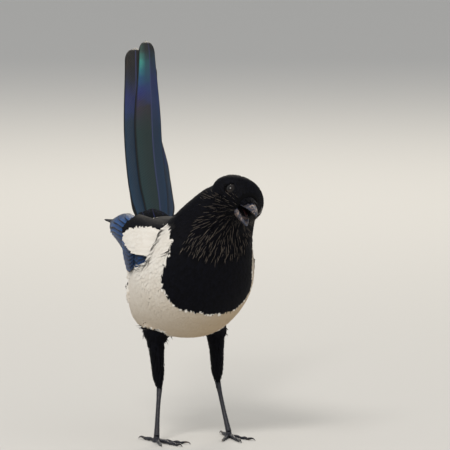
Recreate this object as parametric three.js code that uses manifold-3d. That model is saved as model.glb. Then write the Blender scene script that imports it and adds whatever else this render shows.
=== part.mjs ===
// A life-size standing magpie with its tail cocked, its head tipped to one side and its bill open.
// Millimetres, +Z up. The bird faces -Y and its left side is +X. It stands on the plane Z = 0.
import * as THREE from "three";
import Module from "manifold-3d";

const wasm = await Module();
wasm.setup();

// Driving sizes
const GAP = 0.3; // left between two pieces that meet
const VANE_THICK = 0.52; // a flight feather's vane and shaft together
const WING_STEP = 1.6; // how far each wing vane lies under the one before it
const WING_TILT = 0.42; // the most that a wing vane leans out across its width
const TAIL_STEP = 0.9; // how far each tail vane lies under the one before it
const FRAME_SHIFT = [-9.46, -71.52, 0];

// Trunk and neck: each row is a section through the body, from the tail root to inside the head:
// back line Y and Z, belly and throat line Y and Z, half width, how far the neck bends to the left,
// and how square the lower half is, where 1 is round.
const TRUNK = [
  [85, 170, 87, 155, 10, 1, 1],
  [76, 174, 81, 140, 19, 0.5, 0.8],
  [60, 178, 64, 108, 29.5, 0, 0.62],
  [40, 180, 38, 88, 38, 0, 0.52],
  [18, 181, 9, 84, 46.5, 0, 0.78],
  [3, 182, -17, 86, 50, 0, 1],
  [-5, 183, -36, 99, 50, 0, 1],
  [-11, 185.5, -48.5, 117, 46.5, 0, 1],
  [-17, 189, -55.5, 136, 41.5, 1, 1],
  [-24, 196.5, -59.5, 155, 36, 4, 1],
  [-32, 206, -63, 170, 30.5, 9, 1],
  [-44, 212.5, -70, 181, 24.5, 14, 1],
  [-56, 214, -76, 189, 17, 17, 1],
];
const TRUNK_RINGS = 24;
const TRUNK_SIDES = 28;
const NECK_CUT = 8.35 / 12; // where along the trunk the neck parts from the torso

// Head: origin midway between the eyes, x forward along the bill, y to the left, z to the crown.
const HEAD_AT = [18, -76, 203.4];
const BILL_WAY = [0, -0.998, -0.05];
const CROWN_WAY = [0.594, -0.03, 0.8];
// Each row: distance forward, crown height, chin height, half width.
const HEAD = [
  [-31, 1, -7, 3],
  [-28.5, 8, -12.5, 10.5],
  [-22, 14.6, -17.5, 20],
  [-13, 18, -20, 24],
  [-5, 18.2, -19.8, 22.6],
  [2, 16.6, -18.6, 18.2],
  [9, 12.2, -16.6, 12.8],
  [17, 6.4, -14, 8],
];
const HEAD_RINGS = 18;
const HEAD_SIDES = 24;
const EYE = { at: [0.8, 13.6, 0.8], radius: 4.7, lid: 0.95, rim: 2.7, lean: 0.36 };
const GAPE = [7.5, -6.6]; // the corner of the mouth: forward, up
const GAPE_OPEN = 21; // degrees between the two halves of the bill
const BILL = { length: 26.5, root: 15.3, half: 6, high: 9, hook: 2.6, way: 1 };
const BRISTLE = { count: 8, half: 1.75, tip: 0.15, thick: 0.6 };
const JAW = { length: 23.5, half: 5.6, high: 5.4, hook: -0.6, way: -1 };

// Wing: the sheet that its feathers lie on. Each row: Y, then four points down its outer side, each
// as a distance outwards from the bird's middle plane and a Z.
const WING_SHEET = [
  [-32, 25, 180.5, 36, 171, 43.5, 154, 45.5, 138],
  [-10, 25, 180.5, 39, 173, 48.5, 156, 49.5, 132],
  [20, 21, 180.5, 35.5, 177, 46.5, 160, 42.5, 129],
  [45, 17, 178.5, 30, 178.5, 39.5, 166, 31.5, 132],
  [60, 15, 178, 27, 178.5, 36, 167, 24.5, 138],
  [75, 13.5, 177, 23.5, 177, 31, 167, 20.5, 147],
  [110, 12, 175.5, 16.5, 172.5, 19, 166, 15, 153.5],
  [140, 10, 174, 12.5, 170.5, 14, 165.5, 12.8, 157.5],
  [165, 8, 169.5, 9.5, 167.3, 10.2, 164.5, 9.8, 160.5],
];
const WING_INSET = 3.4; // how far the shoulder end is pressed into the body's feathers
const WING_APART = 9; // how much further out the left wing's end lies, beside the tail
const CORE_TOP = 4; // how far the wing's flesh and small coverts stand out from the sheet
const CORE_DEPTH = 6; // and how far they reach in
// The hollow in the body's side that the wing lies in: Y, half width and depth.
const POCKET = [
  [-31.5, 0.2, 4],
  [-22, 0.34, 8.2],
  [-6, 0.5, 8.2],
  [12, 0.62, 8.2],
  [32, 0.64, 8.2],
  [56, 0.63, 8.2],
  [80, 0.63, 8.2],
  [104, 0.62, 6],
];
const POCKET_TOP = 14; // how far it is cut out over the sheet
// The fans of feathers: Y, then how far down the sheet, from 0 to 1, the highest and the lowest lie.
const FLIGHT_FAN = [
  [-20, 0.38, 0.74],
  [0, 0.28, 0.84],
  [25, 0.1, 0.92],
  [60, 0.04, 0.95],
  [165, 0.1, 0.9],
];
const COVER_FAN = [
  [-30, 0.34, 0.66],
  [-5, 0.2, 0.84],
  [20, 0.05, 0.95],
  [50, 0.03, 0.96],
];
// Each flight feather: the Y of its tip and its half width, from the topmost tertial down to the
// lowest, outermost primary.
const FLIGHT = [
  [54, 7],
  [66, 7],
  [76, 7],
  [84, 7],
  [91, 6.8],
  [98, 6.6],
  [112, 6.4],
  [132, 6.4],
  [150, 6.4],
  [163, 6.4],
  [158, 6.4],
  [138, 6],
  [106, 5.5],
];
const FLIGHT_LEVEL = 9; // the one that lies at the middle height where they are stacked
// The Y of the tips of the scapulars, then of the greater coverts, from the topmost down.
const COVER_TIPS = [30, 38, 43, 44, 40, 36, 34, 34, 33, 31, 27];
const COVER_HALF = 5.6;
// Both tiers: the Y that they spring from, in the flesh of the wing, and their height on the sheet.
const FLIGHTS = { fan: FLIGHT_FAN, count: FLIGHT.length, root: -9, height: -3.3 };
const COVERS = { fan: COVER_FAN, count: COVER_TIPS.length, root: -5, height: 3.2 };
// The Y of the wing's cross lines: every vane is straight between them, so that neighbours match.
const WING_STATIONS = [-9, 14, 32, 46, 60, 74, 90, 108, 136, 165];

// Tail: root, direction, and the feathers from the middle pair outwards.
const TAIL_ROOT = [4.5, 84, 164.5];
const TAIL_RISE = 37; // degrees above level
const TAIL_TURN = 18; // degrees to the left of the body's line
const TAIL_LENGTH = 233;
const TAIL_BEND = 3; // how far the tips are bent to the right
const TAIL_UNEVEN = 0.965; // how long the right feathers are, of the left ones
const TAIL_SHARES = [1, 0.9, 0.79, 0.69, 0.585, 0.48];
const TAIL_STATIONS = [11.5, 34, 70, 110, 150, 190]; // where its vanes have their cross lines
// Half width of a feather, and how far aside it lies: the middle pair, the change to the second
// pair, and the four outer pairs.
const TAIL_MIDDLE = { half: 10.6, aside: 3.8 };
const TAIL_SECOND = { half: -0.4, aside: 2.6 };
const TAIL_OUTER = { half: 8.3, aside: 9.3 };
// The height of the topmost tail feather over the tail's axis: the tips droop a little.
const tailTop = (x) => 3.2 - 0.6 * (x / TAIL_LENGTH) ** 2;
// The coverts over and under the tail's root: where they start, how far the middle one reaches, how
// much shorter the ones beside it are, and their height from the topmost feather.
const TAIL_COVERT = { start: 13, half: 7 };
const UPPER_COVERTS = { reach: 27, shorter: 3, height: 1.3, away: 1 };
const UNDER_COVERTS = { reach: 56, shorter: 12, height: -8.2, away: -1 };

// Legs: where the thigh leaves the belly, the ankle, and the foot.
const LEGS = {
  right: { thigh: [-28.5, 4, 96], ankle: [-20.3, 11.6, 40.5], foot: [-30.6, -8, 4.6], turn: 12 },
  left: { thigh: [26, 6, 96], ankle: [33.5, 17, 42.5], foot: [35, -3, 4.6], turn: -6 },
};
const TOES = [
  { name: "inner", turn: -26, length: 23, thick: 2.5 },
  { name: "middle", turn: 0, length: 30, thick: 2.7 },
  { name: "outer", turn: 27, length: 24, thick: 2.4 },
  { name: "hind", turn: 180, length: 17, thick: 2.9 },
];
const CLAW_LENGTH = 9;

const V = (x = 0, y = 0, z = 0) => new THREE.Vector3(x, y, z);
const RAD = Math.PI / 180;
const mix = (a, b, t) => a + (b - a) * t;
const span = (n) => Array.from({ length: n }, (_, i) => i);

// Reads a table of rows at a place along it: a smooth curve through each column's values.
// The knots are the first column, or the row numbers where byRow is set.
function readTable(rows, at, byRow = false) {
  const knot = (i) => (byRow ? i : rows[i][0]);
  const last = rows.length - 1;
  let i = 0;
  while (i < last - 1 && at > knot(i + 1)) i++;
  const step = knot(i + 1) - knot(i);
  const t = THREE.MathUtils.clamp((at - knot(i)) / step, 0, 1);
  const slope = (k, column) => {
    const a = Math.max(k - 1, 0);
    const b = Math.min(k + 1, last);
    return (rows[b][column] - rows[a][column]) / (knot(b) - knot(a));
  };
  return rows[0].map((_, column) => {
    const from = rows[i][column];
    const to = rows[i + 1][column];
    const t2 = t * t;
    const t3 = t2 * t;
    return (
      (2 * t3 - 3 * t2 + 1) * from +
      (t3 - 2 * t2 + t) * step * slope(i, column) +
      (3 * t2 - 2 * t3) * to +
      (t3 - t2) * step * slope(i + 1, column)
    );
  });
}

// A closed solid from points and triangles, turned right side out.
function solid(points, faces) {
  const make = (triVerts) =>
    new wasm.Manifold(
      new wasm.Mesh({
        numProp: 3,
        vertProperties: new Float32Array(points.flatMap((p) => [p.x, p.y, p.z])),
        triVerts: new Uint32Array(triVerts),
      }),
    );
  const made = make(faces);
  if (made.volume() > 0) return made;
  return make(span(faces.length / 3).flatMap((i) => [faces[3 * i], faces[3 * i + 2], faces[3 * i + 1]]));
}

// A solid from one of three.js's own closed shapes.
function solidOf(geometry) {
  const flat = geometry.index ? geometry.toNonIndexed() : geometry;
  const position = flat.getAttribute("position");
  const points = [];
  const seen = new Map();
  const faces = [];
  for (let i = 0; i < position.count; i++) {
    const p = V().fromBufferAttribute(position, i);
    const key = p.toArray().map((c) => Math.round(c * 1e4)).join();
    if (!seen.has(key)) seen.set(key, points.push(p) - 1);
    faces.push(seen.get(key));
  }
  const whole = span(faces.length / 3).filter((i) => new Set(faces.slice(3 * i, 3 * i + 3)).size === 3);
  return solid(points, whole.flatMap((i) => faces.slice(3 * i, 3 * i + 3)));
}

// A closed skin over rings of points, each end shut by a fan round the middle of its ring.
function loft(rings) {
  const sides = rings[0].length;
  const points = rings.flat();
  const middle = (ring) => ring.reduce((sum, p) => sum.add(p), V()).divideScalar(sides);
  const first = points.push(middle(rings[0])) - 1;
  const last = points.push(middle(rings[rings.length - 1])) - 1;
  const end = (rings.length - 1) * sides;
  const faces = [];
  for (const j of span(sides)) {
    const k = (j + 1) % sides;
    faces.push(first, k, j, last, end + j, end + k);
    for (const i of span(rings.length - 1)) {
      const a = i * sides;
      faces.push(a + j, a + k, a + sides + k, a + j, a + sides + k, a + sides + j);
    }
  }
  return solid(points, faces);
}

// An oval ring round a middle. Its lower half is squarer the smaller the last value is.
function oval(middle, side, up, half, high, sides, square = 1) {
  return span(sides).map((i) => {
    const angle = (i / sides) * 2 * Math.PI;
    const c = Math.cos(angle);
    const s = Math.sin(angle);
    const power = c < 0 ? square : 1;
    const across = half * Math.sign(s) * Math.abs(s) ** power;
    const along = high * Math.sign(c) * Math.abs(c) ** power;
    return middle.clone().addScaledVector(side, across).addScaledVector(up, along);
  });
}

// The union of several solids, of which only the largest closed surface is kept.
function join(solids) {
  const bodies = wasm.Manifold.union(solids).decompose();
  bodies.sort((a, b) => b.volume() - a.volume());
  return bodies[0];
}

// What is left of a solid once others are cut from it, again only its largest piece.
function cut(from, ...tools) {
  let left = from;
  for (const tool of tools) left = left.subtract(tool);
  return join([left]);
}

// A section of trunk or neck at a place from 0 to 1, grown outwards by a margin.
function trunkSection(at, grow = 0) {
  const [backY, backZ, frontY, frontZ, half, left, square] = readTable(TRUNK, at * (TRUNK.length - 1), true);
  const back = V(left, backY, backZ);
  const front = V(left, frontY, frontZ);
  const up = back.clone().sub(front);
  const high = up.length() / 2 + grow;
  up.normalize();
  return { middle: back.add(front).divideScalar(2), up, half: half + grow, high, square };
}

function trunkSolid(grow = 0) {
  const side = V(1, 0, 0);
  return loft(
    span(TRUNK_RINGS + 1).map((i) => {
      const s = trunkSection(i / TRUNK_RINGS, grow);
      return oval(s.middle, side, s.up, s.half, s.high, TRUNK_SIDES, s.square);
    }),
  );
}

// The head's own axes as a matrix that carries head sizes to the bird.
function headMatrix() {
  const forward = V(...BILL_WAY).normalize();
  const left = V(...CROWN_WAY).cross(forward).normalize();
  const up = forward.clone().cross(left);
  return new THREE.Matrix4().makeBasis(forward, left, up).setPosition(...HEAD_AT);
}
const HEAD_MATRIX = headMatrix();
const place = (made, matrix) => made.transform(matrix.elements);

function headSolid() {
  const side = V(0, 1, 0);
  const up = V(0, 0, 1);
  return loft(
    span(HEAD_RINGS + 1).map((i) => {
      const [x, crown, chin, half] = readTable(HEAD, (i / HEAD_RINGS) * (HEAD.length - 1), true);
      return oval(V(x, 0, (crown + chin) / 2), side, up, half, (crown - chin) / 2, HEAD_SIDES);
    }),
  );
}

// The room that the head and its lids need in the neck: the head swelled about its middle.
function headRoom() {
  const swell = new THREE.Matrix4()
    .makeTranslation(-7, 0, -1)
    .multiply(new THREE.Matrix4().makeScale(1.03, 1.03, 1.03))
    .multiply(new THREE.Matrix4().makeTranslation(7, 0, 1));
  return place(headSolid(), swell).add(eyeSolid(-1, 2 * EYE.lid)).add(eyeSolid(1, 2 * EYE.lid));
}

// A wedge that opens the mouth from its corner forwards.
function mouthWedge() {
  const [x, z] = GAPE;
  const reach = 16;
  const wide = 20;
  const drop = Math.tan(GAPE_OPEN * RAD) * reach;
  const corners = [
    [x, z + 0.15],
    [x + reach, z + 0.15],
    [x + reach, z - drop],
  ];
  const points = [-wide, wide].flatMap((y) => corners.map(([cx, cz]) => V(cx, y, cz)));
  return solid(points, [0, 1, 2, 3, 5, 4, 0, 3, 4, 0, 4, 1, 1, 4, 5, 1, 5, 2, 2, 5, 3, 2, 3, 0]);
}

// A point on half of the bill: a share of its length, and an angle from its left edge over its ridge
// to its right edge. The ridge bends down to the tip, and lift is how far outside the surface it is.
function billPoint(shape, t, angle, lift = 0) {
  const taper = Math.sqrt(Math.max(0, 1 - Math.max(0, t) ** 2.6 * 0.985));
  const droop = shape.hook * Math.max(0, t) ** 3;
  const y = Math.cos(angle) * (shape.half * (1 - 0.72 * t) * taper + lift);
  const z = Math.sin(angle) ** 0.8 * (shape.high * (1 - 0.62 * t) * taper + lift) - droop;
  return V(shape.length * t, y, z * shape.way);
}

function billHalf(shape) {
  const rings = 10;
  const arc = 12;
  return loft(
    span(rings + 1).map((i) => span(arc).map((j) => billPoint(shape, i / rings, (j / (arc - 1)) * Math.PI))),
  );
}

// Where each half of the bill sits on the head: the lower one turns open about the mouth's corner.
const ROOF_PLACE = new THREE.Matrix4().makeTranslation(BILL.root, 0, GAPE[1] + 0.3);
const JAW_START = BILL.root - GAPE[0] + 0.4;
const JAW_PLACE = new THREE.Matrix4()
  .makeTranslation(GAPE[0], 0, GAPE[1])
  .multiply(new THREE.Matrix4().makeRotationY(GAPE_OPEN * RAD))
  .multiply(new THREE.Matrix4().makeTranslation(JAW_START, 0, -0.3));

function tongueSolid() {
  const rings = 5;
  return loft(
    span(rings + 1).map((i) => {
      const t = i / rings;
      const wide = 2.4 * Math.sqrt(1.04 - t * t);
      const middle = V(mix(-3, 9.5, t), 0, 1.5 + 0.8 * Math.sin(t * 3));
      return oval(middle, V(0, 1, 0), V(0, 0, 1), wide, 0.7, 8);
    }),
  );
}

// Room in the head in front of the bill's roots: one block for each half.
function billRoom() {
  const block = solidOf(new THREE.BoxGeometry(40, 40, 40));
  const roof = place(block, new THREE.Matrix4().makeTranslation(BILL.root - GAP + 20, 0, GAPE[1] + 20));
  const under = new THREE.Matrix4().makeTranslation(20 - GAP, 0, -19);
  return roof.add(place(block, JAW_PLACE.clone().multiply(under)));
}

// The stiff bristles that lie forward over the root of the upper bill, as flat tapered vanes.
function nasalBristles() {
  return span(BRISTLE.count).map((i) => {
    const angle = mix(14, 166, i / (BRISTLE.count - 1)) * RAD;
    const reach = 0.5 - 0.2 * Math.abs(Math.cos(angle)) ** 2;
    const lift = 0.75 + (i % 2) * 0.75;
    const steps = 4;
    const frames = span(steps + 1).map((k) => {
      const t = mix(-0.22, reach, k / steps);
      const around = (a) => billPoint(BILL, t, THREE.MathUtils.clamp(a, 0.02, Math.PI - 0.02), lift);
      const middle = around(angle);
      const side = around(angle + 0.1).sub(around(angle - 0.1)).normalize();
      const up = side.clone().cross(V(-1, 0, 0)).normalize();
      const half = BRISTLE.half * (1 - k / steps) ** 0.7 + BRISTLE.tip;
      return { at: (d) => middle.clone().addScaledVector(side, d), up, half };
    });
    return place(vane(frames, 1, BRISTLE.thick), ROOF_PLACE);
  });
}

function eyeSolid(side, grow = 0) {
  const [x, y, z] = EYE.at;
  const ball = solidOf(new THREE.SphereGeometry(EYE.radius + grow, 14, 8));
  return place(ball, new THREE.Matrix4().makeTranslation(x, y * side, z));
}

// The rim of skin round an eye.
function lidSolid(side) {
  const [x, y, z] = EYE.at;
  const ring = solidOf(new THREE.TorusGeometry(EYE.radius - 0.35, EYE.lid, 5, 16));
  const stand = new THREE.Matrix4().makeRotationX(-Math.PI / 2);
  const lean = new THREE.Matrix4().makeRotationZ(-EYE.lean * side);
  const stay = new THREE.Matrix4().makeTranslation(x, (y + EYE.rim) * side, z);
  return place(ring, stay.multiply(lean).multiply(stand));
}

// A feather vane: a thin strip along a row of frames, with the same triangles on both faces.
// Each frame gives the point at a distance across from the middle, the way up and the half width.
// ribs is the number of strips on each face.
function vane(frames, ribs = 1, thick = VANE_THICK) {
  const across = ribs + 1;
  const last = frames.length - 1;
  const points = [];
  for (const { at, up, half } of frames)
    for (const face of [1, -1])
      for (const j of span(across)) {
        points.push(at(mix(-1, 1, j / ribs) * half).addScaledVector(up, (face * thick) / 2));
      }
  const id = (i, face, j) => (i * 2 + face) * across + j;
  const faces = [];
  const quad = (a, b, c, d) => faces.push(a, b, c, a, c, d);
  for (const i of span(last)) {
    for (const j of span(ribs)) {
      quad(id(i, 0, j), id(i, 0, j + 1), id(i + 1, 0, j + 1), id(i + 1, 0, j));
      const [a, b, c, d] = [id(i, 1, j), id(i, 1, j + 1), id(i + 1, 1, j + 1), id(i + 1, 1, j)];
      faces.push(a, c, b, a, d, c);
    }
    quad(id(i, 1, 0), id(i, 0, 0), id(i + 1, 0, 0), id(i + 1, 1, 0));
    quad(id(i, 0, ribs), id(i, 1, ribs), id(i + 1, 1, ribs), id(i + 1, 0, ribs));
  }
  for (const j of span(ribs)) {
    quad(id(0, 0, j), id(0, 1, j), id(0, 1, j + 1), id(0, 0, j + 1));
    quad(id(last, 0, j), id(last, 0, j + 1), id(last, 1, j + 1), id(last, 1, j));
  }
  return solid(points, faces);
}

// The line down the wing's sheet at one Y, kept once it is made.
const sheetLines = new Map();
function sheetLine(y) {
  const key = y.toFixed(3);
  if (!sheetLines.has(key)) {
    const row = readTable(WING_SHEET, y);
    const points = span(4).map((i) => V(row[1 + 2 * i], 0, row[2 + 2 * i]));
    sheetLines.set(key, new THREE.CatmullRomCurve3(points, false, "centripetal"));
  }
  return sheetLines.get(key);
}

// A point of the wing's sheet at a Y and a share of the way down it, and the way out of it.
function wingSheet(side, y, down, height = 0) {
  const point = (atY, share) => {
    const apart = side > 0 ? WING_APART * THREE.MathUtils.smoothstep(atY, 50, 95) : 0;
    const line = sheetLine(atY);
    const held = THREE.MathUtils.clamp(share, 0, 1);
    const at = line.getPointAt(held);
    at.addScaledVector(line.getTangentAt(held), (share - held) * line.getLength());
    return V(side * (at.x + apart), atY, at.z);
  };
  const at = point(y, down);
  const along = point(y + 1, down).sub(at);
  const round = point(y, down + 0.02).sub(at);
  const outward = round.cross(along).normalize().multiplyScalar(side);
  const inset = WING_INSET * (1 - THREE.MathUtils.smoothstep(y, 30, 78));
  return { at: at.addScaledVector(outward, height - inset), outward };
}

// A point that is found at the wing's cross lines and runs straight between them.
function betweenStations(y, find) {
  const after = Math.max(1, WING_STATIONS.findIndex((at) => at >= y));
  const [from, to] = [WING_STATIONS[after - 1], WING_STATIONS[after]];
  return find(from).lerp(find(to), (y - from) / (to - from));
}

// One feather of a fan on the wing's sheet. Its lower edge stands out and its upper edge is tucked
// under the feather above. Neighbours are one step apart all over: as much of it as the lean gives,
// and the rest by lying deeper, counted from the feather number level.
function wingFeather(side, { fan, count, root, height }, index, tip, half, level) {
  const find = (y, d) => {
    const [, top, bottom] = readTable(fan, y);
    const length = sheetLine(y).getLength();
    const spacing = ((bottom - top) * length) / (count - 1);
    const tilt = Math.min(WING_TILT, WING_STEP / spacing);
    const down = mix(top, bottom, index / (count - 1)) + d / length;
    const lift = height - (WING_STEP - tilt * spacing) * (index - level) + tilt * d;
    return wingSheet(side, y, down, lift);
  };
  const onTheWay = WING_STATIONS.filter((y) => y > root + 5 && y < tip - 9);
  const ys = [root, ...onTheWay, tip - 5, tip];
  const shares = [0.5, ...onTheWay.map(() => 1), 0.86, 0.24];
  const frames = ys.map((y, i) => ({
    at: (d) => betweenStations(y, (station) => find(station, d).at),
    up: betweenStations(y, (station) => find(station, 0).outward),
    half: half * shares[i],
  }));
  return vane(frames, 2);
}

// The fleshy part of the folded wing with its smallest coverts: a low dome on the sheet, steep at
// its rear, where the feathers come out of it.
function wingCore(side) {
  const rings = 5;
  const across = [-1, -0.6, 0, 0.6, 1];
  return loft(
    span(rings + 1).map((i) => {
      const t = i / rings;
      const y = mix(-30, 1, t);
      const swell = [0.25, 0.8, 1, 1, 1, 0.86][i];
      const middle = mix(0.52, 0.53, t);
      const spread = mix(0.14, 0.46, Math.min(1, t * 1.1));
      const face = (q, height) => {
        const dome = height * swell * Math.sqrt(1.06 - q * q);
        return wingSheet(side, y, middle + q * spread, dome).at;
      };
      const outer = across.map((q) => face(q, CORE_TOP));
      return outer.concat(across.map((q) => face(-q, -CORE_DEPTH)));
    }),
  );
}

// The hollow in the body's side that the wing lies in, its floor a gap below the wing's inner face.
function wingPocket(side) {
  return loft(
    POCKET.map(([y, spread, depth]) => {
      const floor = [-1, -0.72, -0.36, 0.1, 0.6, 1].map((q, j) => {
        const edge = [0.8, 1, 1, 1, 1, 0.6][j];
        return wingSheet(side, y, 0.5 + q * spread, -depth * edge).at;
      });
      const roof = [1, 0, -1].map((q) => wingSheet(side, y, 0.5 + q * spread, POCKET_TOP).at);
      return floor.concat(roof);
    }),
  );
}

function wing(side) {
  const flights = FLIGHT.map(([tip, half], i) => wingFeather(side, FLIGHTS, i, tip, half, FLIGHT_LEVEL));
  const covers = COVER_TIPS.map((tip, i) => wingFeather(side, COVERS, i, tip, COVER_HALF, i));
  return join([wingCore(side), ...flights, ...covers]);
}

// The tail's own axes: x along it, y to the left, z out of its upper face.
function tailMatrix() {
  const rise = TAIL_RISE * RAD;
  const turn = TAIL_TURN * RAD;
  const along = V(Math.sin(turn) * Math.cos(rise), Math.cos(turn) * Math.cos(rise), Math.sin(rise));
  const left = V(Math.cos(turn), -Math.sin(turn), 0);
  const up = left.clone().cross(along);
  return new THREE.Matrix4().makeBasis(along, left, up).setPosition(...TAIL_ROOT);
}

// A tail feather. The left one of the middle pair lies on top, its fellow next, and each further
// pair under the one before. The four outer pairs lie side by side.
function tailFeather(pair, side) {
  const length = TAIL_LENGTH * TAIL_SHARES[pair] * (side < 0 ? TAIL_UNEVEN : 1);
  const inner = pair < 2;
  const under = inner ? pair * 2 + (side > 0 ? 0 : 1) : pair + 2;
  const half = inner ? TAIL_MIDDLE.half + pair * TAIL_SECOND.half : TAIL_OUTER.half;
  const aside = side * (inner ? TAIL_MIDDLE.aside + pair * TAIL_SECOND.aside : TAIL_OUTER.aside);
  const body = TAIL_STATIONS.filter((x) => x < length - 18);
  const xs = [...body, length - 8, length];
  const shares = [0.45, ...body.slice(1).map(() => 1), 0.9, 0.3];
  const frames = xs.map((x, i) => {
    const middle = (i === 0 ? 0.6 : 1) * mix(aside, aside * 0.93 - TAIL_BEND, x / TAIL_LENGTH);
    const height = tailTop(x) - under * TAIL_STEP;
    return { at: (d) => V(x, middle + d, height), up: V(0, 0, 1), half: half * shares[i] };
  });
  return vane(frames);
}

// One of the short feathers that cover the root of the tail, above or below it: a middle one and one
// on each side that lies nearer the tail.
function tailCovert(where, { reach, shorter, height, away }) {
  const layer = (Math.abs(where) ? 0 : 2) + (where > 0 ? 1 : 0);
  const shares = [0.6, 1, 0.8, 0.2];
  const frames = [0, 0.45, 0.85, 1].map((t, i) => {
    const x = mix(TAIL_COVERT.start, reach - Math.abs(where) * shorter, t);
    const middle = where * mix(4, 8.5, t) - t * TAIL_BEND / 2;
    const sunk = i === 0 ? 0.6 : 0;
    const z = tailTop(x) + height + away * (layer * TAIL_STEP - sunk);
    return { at: (d) => V(x, middle + d, z), up: V(0, 0, 1), half: TAIL_COVERT.half * shares[i] };
  });
  return vane(frames);
}

// The rump's end that the tail's feathers spring from, bent up from the trunk's own last ring.
function tailCore(along, left, up) {
  const start = trunkSection(0);
  const root = V(...TAIL_ROOT);
  const knee = root.clone().addScaledVector(along, 9);
  const end = root.clone().addScaledVector(along, 30).addScaledVector(up, -0.8);
  const line = new THREE.QuadraticBezierCurve3(start.middle.clone().add(V(0, GAP, 0)), knee, end);
  const rings = 5;
  return loft(
    span(rings + 1).map((i) => {
      const t = i / rings;
      const ringUp = start.up.clone().lerp(up, t).normalize();
      const ringSide = V(1, 0, 0).lerp(left, t).normalize();
      return oval(line.getPoint(t), ringSide, ringUp, mix(start.half, 12.5, t), mix(start.high, 4.8, t), 12);
    }),
  );
}

function tail() {
  const matrix = tailMatrix();
  const axes = [0, 1, 2].map((k) => V().setFromMatrixColumn(matrix, k));
  const feathers = span(6).flatMap((pair) => [-1, 1].map((side) => tailFeather(pair, side)));
  const tiers = [UPPER_COVERTS, UNDER_COVERTS];
  const coverts = tiers.flatMap((tier) => [-1, 0, 1].map((where) => tailCovert(where, tier)));
  return join([tailCore(...axes), ...[...feathers, ...coverts].map((f) => place(f, matrix))]);
}

// A tube through points with its own half size at each, its first and last rings in given planes.
function limb(points, sizes, sides, firstWay, lastWay, flat = 1) {
  const curve = new THREE.CatmullRomCurve3(points, false, "centripetal");
  const steps = (points.length - 1) * 3;
  return loft(
    span(steps + 1).map((i) => {
      const t = i / steps;
      const middle = curve.getPoint(t);
      const way = curve.getTangent(t);
      if (firstWay) way.lerp(firstWay, Math.max(0, 1 - t * 5));
      if (lastWay) way.lerp(lastWay, Math.max(0, 1 - (1 - t) * 5));
      way.normalize();
      const side = V(0, 1, 0).cross(way);
      if (side.length() < 0.1) side.copy(V(1, 0, 0));
      side.normalize();
      const up = way.clone().cross(side);
      const place = t * (sizes.length - 1);
      const k = Math.min(sizes.length - 2, Math.floor(place));
      const s = place - k;
      const size = mix(sizes[k], sizes[k + 1], s * s * (3 - 2 * s));
      return oval(middle, side, up, size, size * flat, sides);
    }),
  );
}

// One leg: the feathered thigh, the scaly shank, the foot, and its four claws.
function leg(name, { thigh, ankle, foot, turn }, trunk) {
  const top = V(...thigh);
  const heel = V(...ankle);
  const sole = V(...foot);
  const down = heel.clone().sub(top).normalize();
  const fore = sole.clone().sub(heel).normalize();
  const joint = down.clone().add(fore).normalize();
  const knee = top.clone().lerp(heel, 0.45).add(V(0, -1.5, 0));
  const calf = top.clone().lerp(heel, 0.8);
  const thighSolid = limb([top, knee, calf, heel], [10.5, 6.2, 4.9, 2.3], 14, null, joint, 1.15);
  const start = heel.clone().addScaledVector(joint, GAP);
  const middle = start.clone().lerp(sole, 0.5).add(V(0, 0.6, 0));
  const toGround = V(0, 0, -1);
  const shank = limb([start, middle, sole], [2.25, 1.75, 2.2], 12, joint, toGround, 1.2);

  const pieces = [];
  const claws = {};
  const hub = sole.clone().add(V(0, 0, -GAP));
  const ball = span(5).map((i) => {
    const t = i / 4;
    const at = V(hub.x, hub.y, mix(hub.z, -0.4, t));
    return oval(at, V(1, 0, 0), V(0, 1, 0), mix(2.2, 3.6, t), mix(2.6, 3.8, t), 12);
  });
  pieces.push(loft(ball));
  for (const toe of TOES) {
    const heading = (turn + toe.turn) * RAD;
    const way = V(Math.sin(heading), -Math.cos(heading), 0);
    const side = V(-way.y, way.x, 0);
    const rings = 9;
    const toeRings = span(rings + 1).map((i) => {
      const t = i / rings;
      const knuckles = 1 + 0.14 * Math.cos(t * Math.PI * (toe.name === "hind" ? 3 : 5));
      const half = (toe.thick / 2) * mix(1.15, 0.82, t) * knuckles;
      const rise = 0.75 * (1 - t) ** 2 + half * 0.86 + 0.35 * Math.sin(t * Math.PI * 3) ** 2;
      const at = V(hub.x, hub.y, rise).addScaledVector(way, toe.length * t);
      return oval(at, side, V(0, 0, 1), half, half * 0.95, 8);
    });
    pieces.push(loft(toeRings));
    const tip = V(hub.x, hub.y, 0).addScaledVector(way, toe.length + GAP);
    const clawRings = span(6).map((i) => {
      const t = i / 5;
      const long = CLAW_LENGTH * (toe.name === "hind" ? 1.25 : 1);
      const angle = t * 1.25;
      const at = tip.clone().addScaledVector(way, (long * Math.sin(angle)) / 1.1);
      const half = (toe.thick / 2) * 0.8 * (1 - t) ** 0.8 + 0.12;
      at.z = half + 1.1 * Math.sin(t * Math.PI) + 0.05;
      return oval(at, side, V(0, 0, 1), half, half, 6);
    });
    claws[`claw_${name}_${toe.name}`] = loft(clawRings);
  }
  const ground = place(
    solidOf(new THREE.BoxGeometry(200, 200, 20)),
    new THREE.Matrix4().makeTranslation(hub.x, hub.y, -10),
  );
  return {
    [`thigh_${name}`]: cut(thighSolid, trunk),
    [`shank_${name}`]: shank,
    [`foot_${name}`]: cut(join(pieces), ground),
    ...claws,
  };
}

// Everything on one side of a slit, as a tall block to cut away.
function beyond(at, far) {
  const s = trunkSection(at);
  const block = solidOf(new THREE.CylinderGeometry(90, 90, 200, 24));
  const across = s.up.clone().cross(V(1, 0, 0)).normalize();
  const basis = new THREE.Matrix4().makeBasis(V(1, 0, 0), across, V(1, 0, 0).cross(across));
  const middle = s.middle.clone().addScaledVector(across, far * (100 - GAP / 2));
  return place(block, basis.setPosition(middle));
}

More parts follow.
